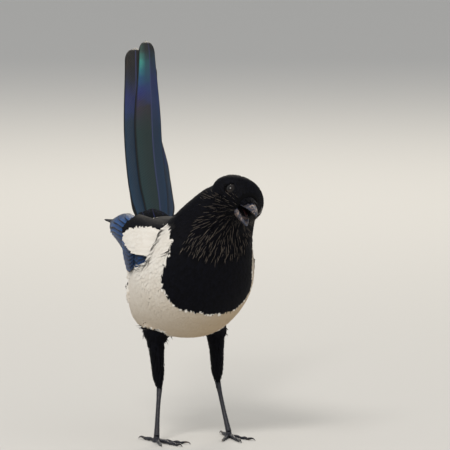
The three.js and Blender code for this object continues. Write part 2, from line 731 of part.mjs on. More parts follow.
function build() {
  const nodes = {};
  const grownTrunk = trunkSolid(GAP);
  const lids = [lidSolid(-1), lidSolid(1)];
  const sockets = [eyeSolid(-1, GAP), eyeSolid(1, GAP)];
  const skull = cut(join([headSolid(), ...lids]), ...sockets, mouthWedge(), billRoom());
  const trunk = trunkSolid();
  const pockets = [wingPocket(-1), wingPocket(1)];
  nodes.torso = cut(trunk, beyond(NECK_CUT, -1), ...pockets);
  nodes.neck = cut(trunk, beyond(NECK_CUT, 1), place(headRoom(), HEAD_MATRIX), ...pockets);
  nodes.head = place(join([skull, ...nasalBristles()]), HEAD_MATRIX);
  nodes.bill_upper = place(place(billHalf(BILL), ROOF_PLACE), HEAD_MATRIX);
  nodes.bill_lower = place(place(billHalf(JAW), JAW_PLACE), HEAD_MATRIX);
  nodes.tongue = place(place(tongueSolid(), JAW_PLACE), HEAD_MATRIX);
  nodes.eye_right = place(eyeSolid(-1), HEAD_MATRIX);
  nodes.eye_left = place(eyeSolid(1), HEAD_MATRIX);
  nodes.wing_right = wing(-1);
  nodes.wing_left = wing(1);
  nodes.tail = tail();
  for (const [name, sizes] of Object.entries(LEGS)) Object.assign(nodes, leg(name, sizes, grownTrunk));
  return nodes;
}

const LOOKS = {
  black: { color: 0x0d0d10, roughness: 0.6, metalness: 0 },
  white: { color: 0xe9e6e0, roughness: 0.8, metalness: 0 },
  blue: { color: 0x1f4f86, roughness: 0.4, metalness: 0.2 },
  green: { color: 0x0f3b40, roughness: 0.35, metalness: 0.3 },
  horn: { color: 0x1c1c22, roughness: 0.35, metalness: 0 },
  mouth: { color: 0x5a2326, roughness: 0.5, metalness: 0 },
  eye: { color: 0x120b08, roughness: 0.05, metalness: 0 },
};
const LOOK_OF = { torso: "white", bill: "horn", shank: "horn", foot: "horn", claw: "horn", tongue: "mouth" };
Object.assign(LOOK_OF, { eye: "eye", wing: "blue", tail: "green" });

const bird = new THREE.Group();
for (const [name, made] of Object.entries(build())) {
  const mesh = made.getMesh();
  const geometry = new THREE.BufferGeometry();
  geometry.setAttribute("position", new THREE.BufferAttribute(mesh.vertProperties, 3));
  geometry.setIndex(new THREE.BufferAttribute(mesh.triVerts, 1));
  geometry.computeVertexNormals();
  const look = LOOKS[LOOK_OF[name.split("_")[0]] ?? "black"];
  const piece = new THREE.Mesh(geometry, new THREE.MeshStandardMaterial(look));
  piece.name = name;
  piece.position.set(...FRAME_SHIFT);
  bird.add(piece);
}

export default bird;
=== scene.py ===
"""A still, life-size magpie in its plumage: skin, feathers, bill, eyes and legs, built over the solid model.

Lengths in the code are millimetres until a mesh is made. The bird faces -Y and its left side is +X.
"""

import math

import bpy
import numpy as np
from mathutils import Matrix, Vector


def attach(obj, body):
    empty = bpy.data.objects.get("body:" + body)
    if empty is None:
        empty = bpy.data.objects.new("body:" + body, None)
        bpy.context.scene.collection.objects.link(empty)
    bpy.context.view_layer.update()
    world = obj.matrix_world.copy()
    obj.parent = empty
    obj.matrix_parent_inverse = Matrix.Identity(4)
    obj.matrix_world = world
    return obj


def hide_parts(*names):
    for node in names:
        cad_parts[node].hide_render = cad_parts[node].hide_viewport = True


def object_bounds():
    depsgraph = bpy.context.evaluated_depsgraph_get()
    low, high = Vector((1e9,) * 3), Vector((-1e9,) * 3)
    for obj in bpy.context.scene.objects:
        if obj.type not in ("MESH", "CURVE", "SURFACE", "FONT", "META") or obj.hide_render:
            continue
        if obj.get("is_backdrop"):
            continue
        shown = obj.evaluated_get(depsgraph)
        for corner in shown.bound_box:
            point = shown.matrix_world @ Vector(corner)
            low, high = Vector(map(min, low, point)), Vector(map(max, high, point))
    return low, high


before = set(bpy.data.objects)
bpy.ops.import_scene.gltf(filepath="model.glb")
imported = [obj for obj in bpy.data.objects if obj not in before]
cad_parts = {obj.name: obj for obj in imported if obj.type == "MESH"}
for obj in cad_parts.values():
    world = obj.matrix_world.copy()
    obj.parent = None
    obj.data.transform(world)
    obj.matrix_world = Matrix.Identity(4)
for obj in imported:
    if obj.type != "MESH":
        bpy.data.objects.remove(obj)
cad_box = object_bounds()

bl_info = {
    "name": "Magpie plumage",
    "version": (1, 0, 0),
    "blender": (4, 5, 0),
    "location": "View3D > Sidebar > Magpie",
    "description": "Dresses a life-size magpie in skin and feathers",
    "category": "Object",
}

MM = 0.001
SEED = 7
SIDES = ((-1, "right"), (1, "left"))
BODY_SHIFT = np.array([-9.46, -71.52, 0.0])  # from the body's own sizes below to the row frame

# Trunk and neck, a section a row, from the tail root to inside the head: back line Y and Z, belly and
# throat line Y and Z, half width, bend to the left, and how round the lower half is.
TRUNK = [
    [85, 170, 87, 155, 10, 1, 1],
    [76, 174, 81, 140, 19, 0.5, 0.8],
    [60, 178, 64, 108, 29.5, 0, 0.62],
    [40, 180, 38, 88, 38, 0, 0.52],
    [18, 181, 9, 84, 46.5, 0, 0.78],
    [3, 182, -17, 86, 50, 0, 1],
    [-5, 183, -36, 99, 50, 0, 1],
    [-11, 185.5, -48.5, 117, 46.5, 0, 1],
    [-17, 189, -55.5, 136, 41.5, 1, 1],
    [-24, 196.5, -59.5, 155, 36, 4, 1],
    [-32, 206, -63, 170, 30.5, 9, 1],
    [-44, 214, -70, 181, 26, 12.5, 1],
    [-56, 216.5, -76, 189, 20, 14, 1],
]
SECTIONS = len(TRUNK) - 1

# Head: its origin lies midway between the eyes, x runs forward, y to the left and z to the crown.
HEAD_AT = np.array([18, -76, 203.4])
BILL_WAY = np.array([0, -0.998, -0.05])
CROWN_WAY = np.array([0.594, -0.03, 0.8])
# Distance forward, crown height, chin height and half width.
HEAD = [
    [-31, 1, -7, 3],
    [-28.5, 8, -12.5, 10.5],
    [-22, 14.6, -17.5, 20],
    [-13, 18, -20, 24],
    [-5, 18.2, -19.8, 22.6],
    [2, 16.6, -18.6, 18.2],
    [9, 12.2, -16.6, 12.8],
    [17, 6.4, -14, 8],
]
EYE_AT = np.array([0.8, 13.6, 0.8])
EYE_RADIUS = 4.7
EYE_LEAN = 0.36  # how far the eye looks forward, in radians
EYE_BULGE = 0.25  # how far the clear front stands out over the ball
# The lids' rim: radius of the ring, half thickness, how far out it lies, and how many folds cross it.
LID_RING, LID_THICK, LID_OUT = 4.05, 0.62, 2.15
LID_FOLDS = 28
GAPE = (7.5, -6.6)  # the corner of the mouth: forward and up
GAPE_OPEN = math.radians(21)
BILL_ROOT = 15.3  # how far forward the horn begins
BILL_BACK = -0.14  # how far the horn runs back into the head, as a share of the bill's length
# Each half of the bill: length, half width and height at the root, how far the tip bends, up or down.
BILL = {"length": 26.5, "half": 6, "high": 9, "hook": 2.6, "way": 1}
JAW = {"length": 23.5, "half": 6.2, "high": 6.4, "hook": -0.6, "way": -1}
JAW_START = BILL_ROOT - GAPE[0] + 0.4
# Tongue: where it starts on the lower half of the bill, its length and its half width.
TONGUE_BACK, TONGUE_LENGTH, TONGUE_HALF = -3, 12.5, 2.4

# Wing: the sheet that its feathers lie on. Y, then four points down it as distance out and Z.
WING_SHEET = [
    [-32, 25, 180.5, 36, 171, 43.5, 154, 45.5, 138],
    [-10, 25, 180.5, 39, 173, 48.5, 156, 49.5, 132],
    [20, 21, 180.5, 35.5, 177, 46.5, 160, 42.5, 129],
    [45, 17, 178.5, 30, 178.5, 39.5, 166, 31.5, 132],
    [60, 15, 178, 27, 178.5, 36, 167, 24.5, 138],
    [75, 13.5, 177, 23.5, 177, 31, 167, 20.5, 147],
    [110, 12, 175.5, 16.5, 172.5, 19, 166, 15, 153.5],
    [140, 10, 174, 12.5, 170.5, 14, 165.5, 12.8, 157.5],
    [165, 8, 169.5, 9.5, 167.3, 10.2, 164.5, 9.8, 160.5],
]
WING_INSET = 3.4  # how far the front of the wing is sunk into the body
WING_APART = 9  # how far the left wing's tip stands off the body's middle
# The band of the sheet that a fan of feathers covers: Y, and how far down it starts and ends.
FLIGHT_FAN = [
    [-20, 0.38, 0.74],
    [0, 0.28, 0.84],
    [25, 0.1, 0.92],
    [60, 0.04, 0.95],
    [80, 0.1, 0.82],
    [105, 0.22, 0.62],
    [135, 0.38, 0.5],
    [165, 0.42, 0.46],
]
COVER_FAN = [[-30, 0.34, 0.66], [-5, 0.2, 0.76], [20, 0.05, 0.75], [50, 0.03, 0.72]]
# Place in the fan from 0, the topmost, to 1, then the Y of the tip and the half width.
FLIGHTS = [
    [0, 54, 7],
    [0.17, 72, 7],
    [0.33, 90, 6.8],
    [0.5, 112, 6.4],
    [0.58, 132, 6.4],
    [0.67, 150, 6.4],
    [0.75, 172, 6.4],
    [0.83, 165, 6.4],
    [0.92, 138, 6],
    [1, 106, 5.5],
]
FLIGHT_COUNT = 16
PRIMARIES_FROM = 0.66  # place in the fan where the blue secondaries give way to the black primaries
COVERS = [[0, 34, 6.4], [0.3, 42, 6.4], [0.5, 36, 6], [0.8, 33, 5.6], [1, 27, 5.2]]
COVER_COUNT = 13
# A fan's feathers lie like roof tiles: each is deeper than the one above it by the drop, less what its
# lean brings back up.
TILE_DROP, TILE_LEAN = 1.6, 0.42
FLIGHT_ROOT, COVER_ROOT = -9, -5  # Y of the roots
FLIGHT_STEPS, COVER_STEPS = 12, 10  # tiles from the first feather to the last
FLIGHT_LEVEL = 9  # the step at which a flight feather has the fan's height
FLIGHT_HEIGHT, COVER_HEIGHT = -3.3, 3.0  # over the sheet
FLIGHT_SWELL = 4.6  # how much higher the flight feathers stand behind the coverts

TAIL_ROOT = np.array([4.5, 84, 164.5])
TAIL_RISE = math.radians(37)
TAIL_TURN = math.radians(18)
TAIL_LENGTH = 233
TAIL_BEND = 3  # how far its tip lies to the right
TAIL_SWAY = 3.2  # how far it sways to the right
TAIL_SWAY_TURN = 170  # how far from the root it is back in line
TAIL_UNEVEN = 0.965  # length of the right feathers next to the left ones
TAIL_SHARES = [1, 0.9, 0.79, 0.69, 0.585, 0.48]  # length of each pair, from the middle one out
TAIL_STEP = 0.9  # from one feather down to the next
TAIL_TOP, TAIL_DROOP = 3.2, 0.6  # height of the topmost feather, and how far its tip sinks
TAIL_FROM = 8  # where the feathers leave the body, from the tail's root
# Half width of each feather and how far aside it lies, from the middle pair out: the closed tail's
# feathers lie under the middle pair, and the two short ones on the left stand out.
TAIL_SPREAD = {
    -1: [(10.6, 6.2), (10.2, 6.1), (8.3, 7.9), (8.3, 7.8), (8.3, 7.7), (8.3, 7.6)],
    1: [(11.4, 3.8), (10.2, 3.3), (8.3, 5.2), (8.3, 5.2), (8.3, 11.6), (8.3, 11.9)],
}

# Legs: the top of the thigh's middle line, the ankle and the ball of the foot, and how many degrees the
# foot turns to the bird's left.
LEGS = {
    "right": {
        "thigh": np.array([-28.5, 4.0, 96.0]),
        "ankle": np.array([-20.3, 11.6, 40.5]),
        "foot": np.array([-30.6, -8.0, 4.6]),
        "turn": 12,
    },
    "left": {
        "thigh": np.array([26.0, 6.0, 96.0]),
        "ankle": np.array([33.5, 17.0, 42.5]),
        "foot": np.array([35.0, -3.0, 4.6]),
        "turn": -6,
    },
}
THIGH_SIZES = [9.3, 6.3, 5.2, 2.3]
SHANK_SIZES = [2.3, 1.75, 1.7, 1.85, 2.3]
LIMB_OVAL = 1.15  # how much deeper than wide a thigh or a shank is
SCUTES = 11  # plates down the front of a shank
TOE_PLATES = 13
# Toes: degrees from the foot's own way to the bird's left, length and thickness.
TOES = [
    {"name": "inner", "turn": -26, "length": 23, "thick": 2.5},
    {"name": "middle", "turn": 0, "length": 30, "thick": 2.7},
    {"name": "outer", "turn": 27, "length": 24, "thick": 2.4},
    {"name": "hind", "turn": 180, "length": 17, "thick": 2.9},
]
CLAW_LENGTH = 9

# Small feathers: columns, places along them, half width, thickness, height of their arch, how far the
# rims fall back from the tip, and how far every other barb ends short of it.
PLUMES = {
    "short": (5, (0, 0.3, 0.65, 1), 1.7, 0.16, 0.3, 0.35, 0.06),
    "narrow": (3, (0, 0.25, 0.5, 0.75, 1), 0.7, 0.2, 0.15, 0.4, 0),
    "strand": (3, (0, 0.25, 0.5, 0.75, 1), 0.16, 0.15, 0.05, 0.2, 0),
    "broad": (7, (0, 0.35, 0.7, 1), 2.8, 0.16, 0.3, 0.3, 0.07),
    "silky": (7, (0, 0.35, 0.7, 1), 2.7, 0.06, 0.03, 0.25, 0.04),
    "shoulder": (7, (0, 0.3, 0.6, 0.85, 1), 3.2, 0.08, 0.1, 0.25, 0.03),
    "bristle": (3, (0, 0.3, 0.65, 1), 0.75, 0.25, 0.1, 0.1, 0),
}
BRISTLES = 260
PLUME_ROOT = 0.3  # width at a small feather's root next to its widest
PLUME_ARCH = 0.15  # how far its rims face aside
ROOTS_TRIED = 9.0  # random places for each small feather that is kept
PIECE_LIMIT = 190_000  # triangles in one piece of small feathers


def linear(hex_colour):
    """An sRGB hex colour as linear red, green, blue and alpha."""
    shares = [int(hex_colour[i : i + 2], 16) / 255 for i in (1, 3, 5)]
    return [s / 12.92 if s <= 0.04045 else ((s + 0.055) / 1.055) ** 2.4 for s in shares] + [1.0]


def unit(v):
    return v / np.maximum(np.linalg.norm(v, axis=-1, keepdims=True), 1e-9)


def dot(a, b):
    return np.sum(a * b, axis=-1, keepdims=True)


def smoothstep(low, high, x):
    t = np.clip((np.asarray(x, float) - low) / (high - low), 0, 1)
    return t * t * (3 - 2 * t)


def read_table(rows, at, by_row=False):
    """Reads rows of numbers at places along them: a smooth cubic through each column's values, whose
    slope at a row is that of the line between its neighbours."""
    rows = np.asarray(rows, float)
    at = np.asarray(at, float)
    knots = np.arange(len(rows), dtype=float) if by_row else rows[:, 0]
    last = len(rows) - 1
    i = np.searchsorted(knots[1:-1], at, side="left")
    step = (knots[i + 1] - knots[i])[..., None]
    t = np.clip((at - knots[i])[..., None] / step, 0, 1)
    before = np.maximum(np.arange(last + 1) - 1, 0)
    after = np.minimum(np.arange(last + 1) + 1, last)
    slope = (rows[after] - rows[before]) / (knots[after] - knots[before])[:, None]
    return (
        (2 * t**3 - 3 * t**2 + 1) * rows[i]
        + (t**3 - 2 * t**2 + t) * step * slope[i]
        + (3 * t**2 - 2 * t**3) * rows[i + 1]
        + (t**3 - t**2) * step * slope[i + 1]
    )


# Meshes


def grid_faces(rows, columns, around=False):
    """Quads of a grid of points, rows by columns. The columns close on themselves where around is set."""
    i = np.arange(rows - 1)[:, None]
    j = np.arange(columns if around else columns - 1)[None, :]
    k = (j + 1) % columns
    corners = [i * columns + j, i * columns + k, (i + 1) * columns + k, (i + 1) * columns + j]
    return np.stack([c + 0 * i for c in corners], -1).reshape(-1, 4)


def closed_loft(rings):
    """Points and faces of a skin over rings of points (rings, sides, 3), its ends shut by fans."""
    rows, sides, _ = rings.shape
    points = np.concatenate([rings.reshape(-1, 3), [rings[0].mean(0)], [rings[-1].mean(0)]])
    j = np.arange(sides)
    k = (j + 1) % sides
    end = (rows - 1) * sides
    first = np.stack([np.full(sides, rows * sides), k, j], -1)
    last = np.stack([np.full(sides, rows * sides + 1), end + j, end + k], -1)
    return points, [grid_faces(rows, sides, around=True), first, last]


def volume(points, faces):
    """Six times the signed volume inside faces: positive where they point outwards."""
    total = 0.0
    for group in faces:
        a = points[group[:, 0]]
        for m in range(1, group.shape[1] - 1):
            total += np.sum(a * np.cross(points[group[:, m]], points[group[:, m + 1]]))
    return total


def make_piece(
    name, material, slot, points, faces, replaced=(), lie=None, tone=None, bake=None, facing=None, stray=None
):
    """Puts points (millimetres, body frame) and lists of faces into a mesh object that rides with the
    bird. lie is a map across and along each feather, tone is a number for each feather, and bake is
    the map for baking. facing gives the directions that the light sees, and stray how far a point lies
    in the other colour's area. They are given for each point, or bake for each corner of a face."""
    if volume(points, faces) < 0:
        faces = [group[:, ::-1] for group in faces]
    mesh = bpy.data.meshes.new(name)
    mesh.vertices.add(len(points))
    mesh.vertices.foreach_set("co", ((points + BODY_SHIFT) * MM).astype(np.float32).ravel())
    loops = np.concatenate([group.ravel() for group in faces]).astype(np.int32)
    sizes = np.concatenate([np.full(len(group), group.shape[1]) for group in faces])
    mesh.loops.add(len(loops))
    mesh.loops.foreach_set("vertex_index", loops)
    mesh.polygons.add(len(sizes))
    mesh.polygons.foreach_set("loop_start", (np.cumsum(sizes) - sizes).astype(np.int32))
    mesh.update(calc_edges=True)
    mesh.polygons.foreach_set("use_smooth", np.ones(len(sizes), bool))
    for layer, values in (("Lie", lie), ("OFBake", bake)):
        if values is not None:
            uv = mesh.uv_layers.new(name=layer)
            corners = values if len(values) == len(loops) else values[loops]
            uv.data.foreach_set("uv", corners.astype(np.float32).ravel())
    for layer, values in (("tone", tone), ("stray", stray)):
        if values is not None:
            mesh.attributes.new(layer, "FLOAT", "POINT").data.foreach_set("value", values.astype(np.float32))
    mesh.validate()
    if facing is not None:
        mesh.normals_split_custom_set_from_vertices(facing.astype(np.float32))
    made = bpy.data.objects.new(name, mesh)
    bpy.context.scene.collection.objects.link(made)
    mesh.materials.append(material)
    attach(made, "root")
    if replaced:
        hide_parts(*replaced)


def join_parts(parts):
    """Several (points, faces) as one."""
    points, faces, start = [], [], 0
    for p, groups in parts:
        points.append(p)
        faces += [group + start for group in groups]
        start += len(p)
    return np.concatenate(points), faces


# Forms of the body


def trunk_point(s, angle):
    """A point of the trunk: s runs from 0 at the tail root to 1 inside the head, and angle from the
    back line round by the left side. Each section is an oval of the table's height and width, squarer
    below where the table says so."""
    s, angle = np.broadcast_arrays(np.asarray(s, float), np.asarray(angle, float))
    row = read_table(TRUNK, s * SECTIONS, True)
    back = np.stack([row[..., 5], row[..., 0], row[..., 1]], -1)
    front = np.stack([row[..., 5], row[..., 2], row[..., 3]], -1)
    up = back - front
    high = np.linalg.norm(up, axis=-1, keepdims=True) / 2
    c, q = np.cos(angle)[..., None], np.sin(angle)[..., None]
    power = np.where(c < 0, row[..., 6:7], 1.0)
    across = row[..., 4:5] * np.sign(q) * np.abs(q) ** power
    along = high * np.sign(c) * np.abs(c) ** power
    return (back + front) / 2 + unit(up) * along + np.array([1.0, 0, 0]) * across


def head_axes():
    """The ways forward, left and up of the head."""
    forward = unit(BILL_WAY)
    left = unit(np.cross(CROWN_WAY, forward))
    return np.stack([forward, left, np.cross(forward, left)])


HEAD_AXES = head_axes()


def from_head(p):
    return p @ HEAD_AXES + HEAD_AT


def to_head(p):
    return (p - HEAD_AT) @ HEAD_AXES.T


def head_point(s, angle):
    """A point of the head in its own axes: s from 0 at the nape to 1 at the bill's root."""
    s, angle = np.broadcast_arrays(np.asarray(s, float), np.asarray(angle, float))
    x, crown, chin, half = np.moveaxis(read_table(HEAD, s * (len(HEAD) - 1), True), -1, 0)
    y = half * np.sin(angle)
    z = (crown + chin) / 2 + (crown - chin) / 2 * np.cos(angle)
    return np.stack([x, y, z], -1)


def along_curve(knots, t):
    """Points on a smooth curve through knots at shares t of it, and its direction there."""
    places = np.linspace(0, 1, len(knots))
    rows = np.column_stack([places, knots])
    at = read_table(rows, t)[..., 1:]
    step = 0.01
    ahead = read_table(rows, np.clip(t + step, 0, 1))[..., 1:]
    behind = read_table(rows, np.clip(t - step, 0, 1))[..., 1:]
    return at, unit(ahead - behind)


def ring_angles(sides):
    """Angles once round a ring, as a row."""
    return np.linspace(0, 2 * np.pi, sides, endpoint=False)[None, :]


def limb_rings(knots, sizes, sides, rows):
    """Oval rings round a smooth curve through knots, their half sizes read from a list along it."""
    t = np.linspace(0, 1, rows)
    at, way = along_curve(np.asarray(knots, float), t)
    side = unit(np.cross(np.array([0, 1.0, 0]), way))
    up = np.cross(way, side)
    size = np.interp(t, np.linspace(0, 1, len(sizes)), sizes)[:, None, None]
    angle = ring_angles(sides)[..., None]
    c, s = np.cos(angle), np.sin(angle)
    return at[:, None] + side[:, None] * s * size + up[:, None] * c * size * LIMB_OVAL


def thigh_rings(leg):
    """The thigh from the body to the ankle, its knee bent a little forward."""
    top, heel = leg["thigh"], leg["ankle"]
    knee = top + (heel - top) * 0.45 + np.array([0, -1.5, 0])
    return limb_rings([top, knee, top + (heel - top) * 0.8, heel], THIGH_SIZES, 24, 20)


class NearSurface:
    """Small cubes of space round a cloud of surface points, each holding the number of the nearest
    point. It grows outwards from the cubes that hold a point, one cube at a time."""

    cube = 2.0

    def __init__(self, points, normals, reach=7):
        self.points, self.normals = points, normals
        self.low = points.min(0) - (reach + 1) * self.cube
        shape = np.ceil((points.max(0) - self.low) / self.cube).astype(int) + reach + 2
        near = np.full(shape, -1)
        near[tuple(((points - self.low) / self.cube).astype(int).T)] = np.arange(len(points))
        for _ in range(reach):
            for axis in range(3):
                for way in (1, -1):
                    self._spread(near, axis, way)
        self.near = near

    def _spread(self, near, axis, way):
        other = np.roll(near, way, axis)
        cells = np.argwhere((other >= 0) & (other != near))
        index = tuple(cells.T)
        middle = self.low + (cells + 0.5) * self.cube
        new, old = other[index], near[index]
        far_new = np.sum((self.points[new] - middle) ** 2, -1)
        far_old = np.where(old >= 0, np.sum((self.points[old] - middle) ** 2, -1), np.inf)
        near[index] = np.where(far_new < far_old, new, old)

    def find(self, p):
        """Numbers of the nearest surface points, -1 where none is near."""
        cell = ((p - self.low) / self.cube).astype(int)
        cell = np.clip(cell, 0, np.array(self.near.shape) - 1)
        return self.near[tuple(np.moveaxis(cell, -1, 0))]

    def height(self, p):
        """How far outside the surface each point is, and the normal there."""
        n = self.find(p)
        normal = self.normals[n]
        return np.where(n[..., None] >= 0, dot(p - self.points[n], normal), 1e3), normal


SHEET_CELLS = 60  # cells down the sheet's grid


def wing_sheet_grid():
    """The wing's sheet as a grid: for each Y the curve through its four points, a cubic whose speed at a
    point follows from the square roots of the distances to its neighbours, cut into equal lengths."""
    ys = np.arange(-40.0, 172.0, 1.0)
    held = np.clip(ys, WING_SHEET[0][0], WING_SHEET[-1][0])
    knots = read_table(WING_SHEET, held)[:, 1:].reshape(len(ys), 4, 2)
    ends = [2 * knots[:, :1] - knots[:, 1:2], knots, 2 * knots[:, 3:] - knots[:, 2:3]]
    p = np.concatenate(ends, 1)
    gap = np.linalg.norm(np.diff(p, axis=1), axis=-1, keepdims=True) ** 0.5
    t = np.linspace(0, 1, 25)[None, :, None]
    pieces = []
    for k in (1, 2, 3):
        before, here, after = gap[:, k - 1], gap[:, k], gap[:, k + 1]
        p0, p1, p2, p3 = p[:, k - 1], p[:, k], p[:, k + 1], p[:, k + 2]
        leave = here * ((p1 - p0) / before - (p2 - p0) / (before + here) + (p2 - p1) / here)
        reach = here * ((p2 - p1) / here - (p3 - p1) / (here + after) + (p3 - p2) / after)
        blend = (2 * t**3 - 3 * t**2 + 1) * p1[:, None] + (t**3 - 2 * t**2 + t) * leave[:, None]
        blend += (3 * t**2 - 2 * t**3) * p2[:, None] + (t**3 - t**2) * reach[:, None]
        pieces.append(blend[:, 0 if k == 1 else 1 :])
    line = np.concatenate(pieces, 1)
    run = np.cumsum(np.linalg.norm(np.diff(line, axis=1), axis=-1), 1)
    run = np.concatenate([np.zeros((len(ys), 1)), run], 1)
    shares = np.linspace(0, 1, SHEET_CELLS + 1)
    even = [[np.interp(shares * r[-1], r, l[:, c]) for c in (0, 1)] for r, l in zip(run, line)]
    return ys, np.moveaxis(np.array(even), 1, 2), run[:, -1]


SHEET_Y, SHEET, SHEET_LENGTH = wing_sheet_grid()


def bare_sheet(side, y, down):
    """A point of the wing's sheet between its grid's points. Beyond its edges it runs straight on."""
    row = np.clip(y - SHEET_Y[0], 0, len(SHEET_Y) - 1.001)
    held = np.clip(down, 0, 1)
    column = np.clip(held * SHEET_CELLS, 0, SHEET_CELLS - 0.001)
    i, j = row.astype(int), column.astype(int)
    f, g = (row - i)[..., None], (column - j)[..., None]
    near = SHEET[i, j] * (1 - f) + SHEET[i + 1, j] * f
    far = SHEET[i, j + 1] * (1 - f) + SHEET[i + 1, j + 1] * f
    at = near * (1 - g) + far * g + (far - near) * SHEET_CELLS * (down - held)[..., None]
    apart = WING_APART * smoothstep(50, 95, y) if side > 0 else 0.0
    return np.stack([side * (at[..., 0] + apart), y + 0 * at[..., 0], at[..., 1]], -1)


def sheet_point(side, y, down, height):
    """A point over the wing's sheet and the way out of it, which is square to the sheet's two lines."""
    y, down, height = np.broadcast_arrays(*(np.asarray(v, float) for v in (y, down, height)))
    at = bare_sheet(side, y, down)
    along = bare_sheet(side, y + 1, down) - at
    round_it = bare_sheet(side, y, down + 0.02) - at
    outward = unit(np.cross(round_it, along)) * side
    inset = WING_INSET * (1 - smoothstep(30, 78, y))
    return at + outward * (height - inset)[..., None], outward


# Feathers with a shaft

VANE_COLUMNS = np.array([-1, -0.86, -0.6, -0.32, -0.07, 0, 0.07, 0.32, 0.6, 0.86, 1])
VANE_ARCH = 0.7  # how far the middle of a vane stands over its rims
SHAFT_RIDGE = 0.45  # how far the shaft stands over the vane at the root


def vane(place, start, tip, half, rounding, rows, thick=0.36, narrow=0.5, lean=0.0, taper=0.0):
    """One flight or tail feather as a closed plate. Across it the face is a shallow arch with a ridge
    on the shaft, its half width grows over the root, shrinks by taper and closes as a quarter ellipse
    at the tip. The shaft lies to one side by lean. place(x, d, h) gives the point at x along, d across
    and h above the feather's own sheet."""
    share = np.linspace(0, 1, rows)
    t = np.where(share < 0.5, share * 1.3, 0.65 + (share - 0.5) * 0.7)
    round_from = 1 - rounding / (tip - start)
    over = np.clip((t - round_from) / (1 - round_from), 0, 1)
    closing = np.sqrt(np.maximum(1 - over**2, 0.0006))
    width = half * (narrow + (1 - narrow) * smoothstep(0, 0.2, t)) * closing
    width = width * (1 - taper * smoothstep(0.5, 0.98, t))
    x = (start + (tip - start) * t)[:, None]
    q = VANE_COLUMNS[None, :]
    d = (q + lean * (1 - q**2)) * width[:, None]
    arch = VANE_ARCH * (1 - q**2) * (width / half)[:, None]
    ridge = SHAFT_RIDGE * np.exp(-((q / 0.06) ** 2)) * (1 - 0.85 * t)[:, None]
    edge = thick * (1 - 0.7 * np.abs(q) ** 3) / 2
    top = place(x + 0 * d, d, arch + ridge + edge)
    under = place(x + 0 * d, d, arch - edge)
    rings = np.concatenate([top, under[:, ::-1]], 1)
    points, faces = closed_loft(rings)
    across = np.concatenate([VANE_COLUMNS, VANE_COLUMNS[::-1]]) / 2 + 0.5
    lie = np.stack(np.broadcast_arrays(across[None, :], t[:, None]), -1).reshape(-1, 2)
    return points, faces, np.concatenate([lie, [[0.5, 0.0], [0.5, 1.0]]])


def gather(feathers):
    """Feathers (points, faces, lie) as one set of arrays for make_piece."""
    points, faces = join_parts([(f[0], f[1]) for f in feathers])
    return {"points": points, "faces": faces, "lie": np.concatenate([f[2] for f in feathers])}


def wing_feather(side, fan, share, steps, level, height, root, tip, half, swell=0.0, **shape):
    """A feather of a fan on the wing's sheet, at a share of the way down it: its lower edge stands out
    and its upper edge is tucked under the feather above it. It lies deeper the further down the fan it
    is, and by swell higher behind the coverts."""

    def place(y, d, h):
        top, bottom = np.moveaxis(read_table(fan, y), -1, 0)[1:]
        length = np.interp(y, SHEET_Y, SHEET_LENGTH)
        spacing = (bottom - top) * length / steps
        lean = np.minimum(TILE_LEAN, TILE_DROP / spacing)
        down = top + (bottom - top) * share + d / length
        lift = height - (TILE_DROP - lean * spacing) * (share * steps - level) + lean * d
        behind = smoothstep(38, 70, y) * (1 - 0.8 * smoothstep(84, 120, y))
        return sheet_point(side, y, down, lift + h + swell * behind)[0]

    return vane(place, root, tip, half, **shape)


def flight_feathers(side, primary):
    """The black primaries of one wing, or its blue secondaries, from the topmost down."""
    made = []
    for share in np.linspace(0, 1, FLIGHT_COUNT):
        if (share > PRIMARIES_FROM) == primary:
            place = (share, FLIGHT_STEPS, FLIGHT_LEVEL, FLIGHT_HEIGHT, FLIGHT_ROOT)
            shape = {"swell": FLIGHT_SWELL, "rounding": 10, "taper": 0.8 * primary, "rows": 30}
            made.append(wing_feather(side, FLIGHT_FAN, *place, *read_table(FLIGHTS, share)[1:], **shape))
    return made


def greater_coverts(side):
    """The coverts over the roots of one wing's flight feathers, from the topmost down."""
    made = []
    for share in np.linspace(0, 1, COVER_COUNT):
        place = (share, COVER_STEPS, share * COVER_STEPS, COVER_HEIGHT, COVER_ROOT)
        size = read_table(COVERS, share)[1:]
        made.append(wing_feather(side, COVER_FAN, *place, *size, rounding=8, rows=16))
    return made


def tail_axes():
    """Along the tail, to its left, and out of its upper face."""
    rise, turn = TAIL_RISE, TAIL_TURN
    along = np.array([math.sin(turn) * math.cos(rise), math.cos(turn) * math.cos(rise), math.sin(rise)])
    left = np.array([math.cos(turn), -math.sin(turn), 0])
    return np.stack([along, left, np.cross(left, along)])


TAIL_AXES = tail_axes()


def tail_top(x):
    """The height of the topmost tail feather over the tail's axis: the tips droop a little."""
    return TAIL_TOP - TAIL_DROOP * (x / TAIL_LENGTH) ** 2


def tail_feather(pair, side):
    """A tail feather: the left one of the middle pair on top, each further pair under the one before."""
    length = TAIL_LENGTH * TAIL_SHARES[pair] * (TAIL_UNEVEN if side < 0 else 1)
    under = pair * 2 + (side < 0) if pair < 2 else pair + 2
    half, aside = TAIL_SPREAD[side][pair]

    def place(x, d, h):
        spread = 0.8 + 0.2 * smoothstep(11.5, 34, x)
        middle = spread * (side * aside * (1 - 0.07 * x / TAIL_LENGTH) - TAIL_BEND * x / TAIL_LENGTH)
        middle = middle - TAIL_SWAY * np.sin(np.pi * x / TAIL_SWAY_TURN)
        height = tail_top(x) - under * TAIL_STEP + 0.35 * h
        return np.stack([x, middle + d, height], -1) @ TAIL_AXES + TAIL_ROOT

    shape = {"rounding": 16, "rows": 44, "narrow": 0.8, "thick": 0.5}
    if pair == 0 and side > 0:
        return vane(place, TAIL_FROM, length, half, lean=0.33, taper=0.4, **shape)
    return vane(place, TAIL_FROM, length, half, taper=0.7 if pair > 3 else 0.12, **shape)


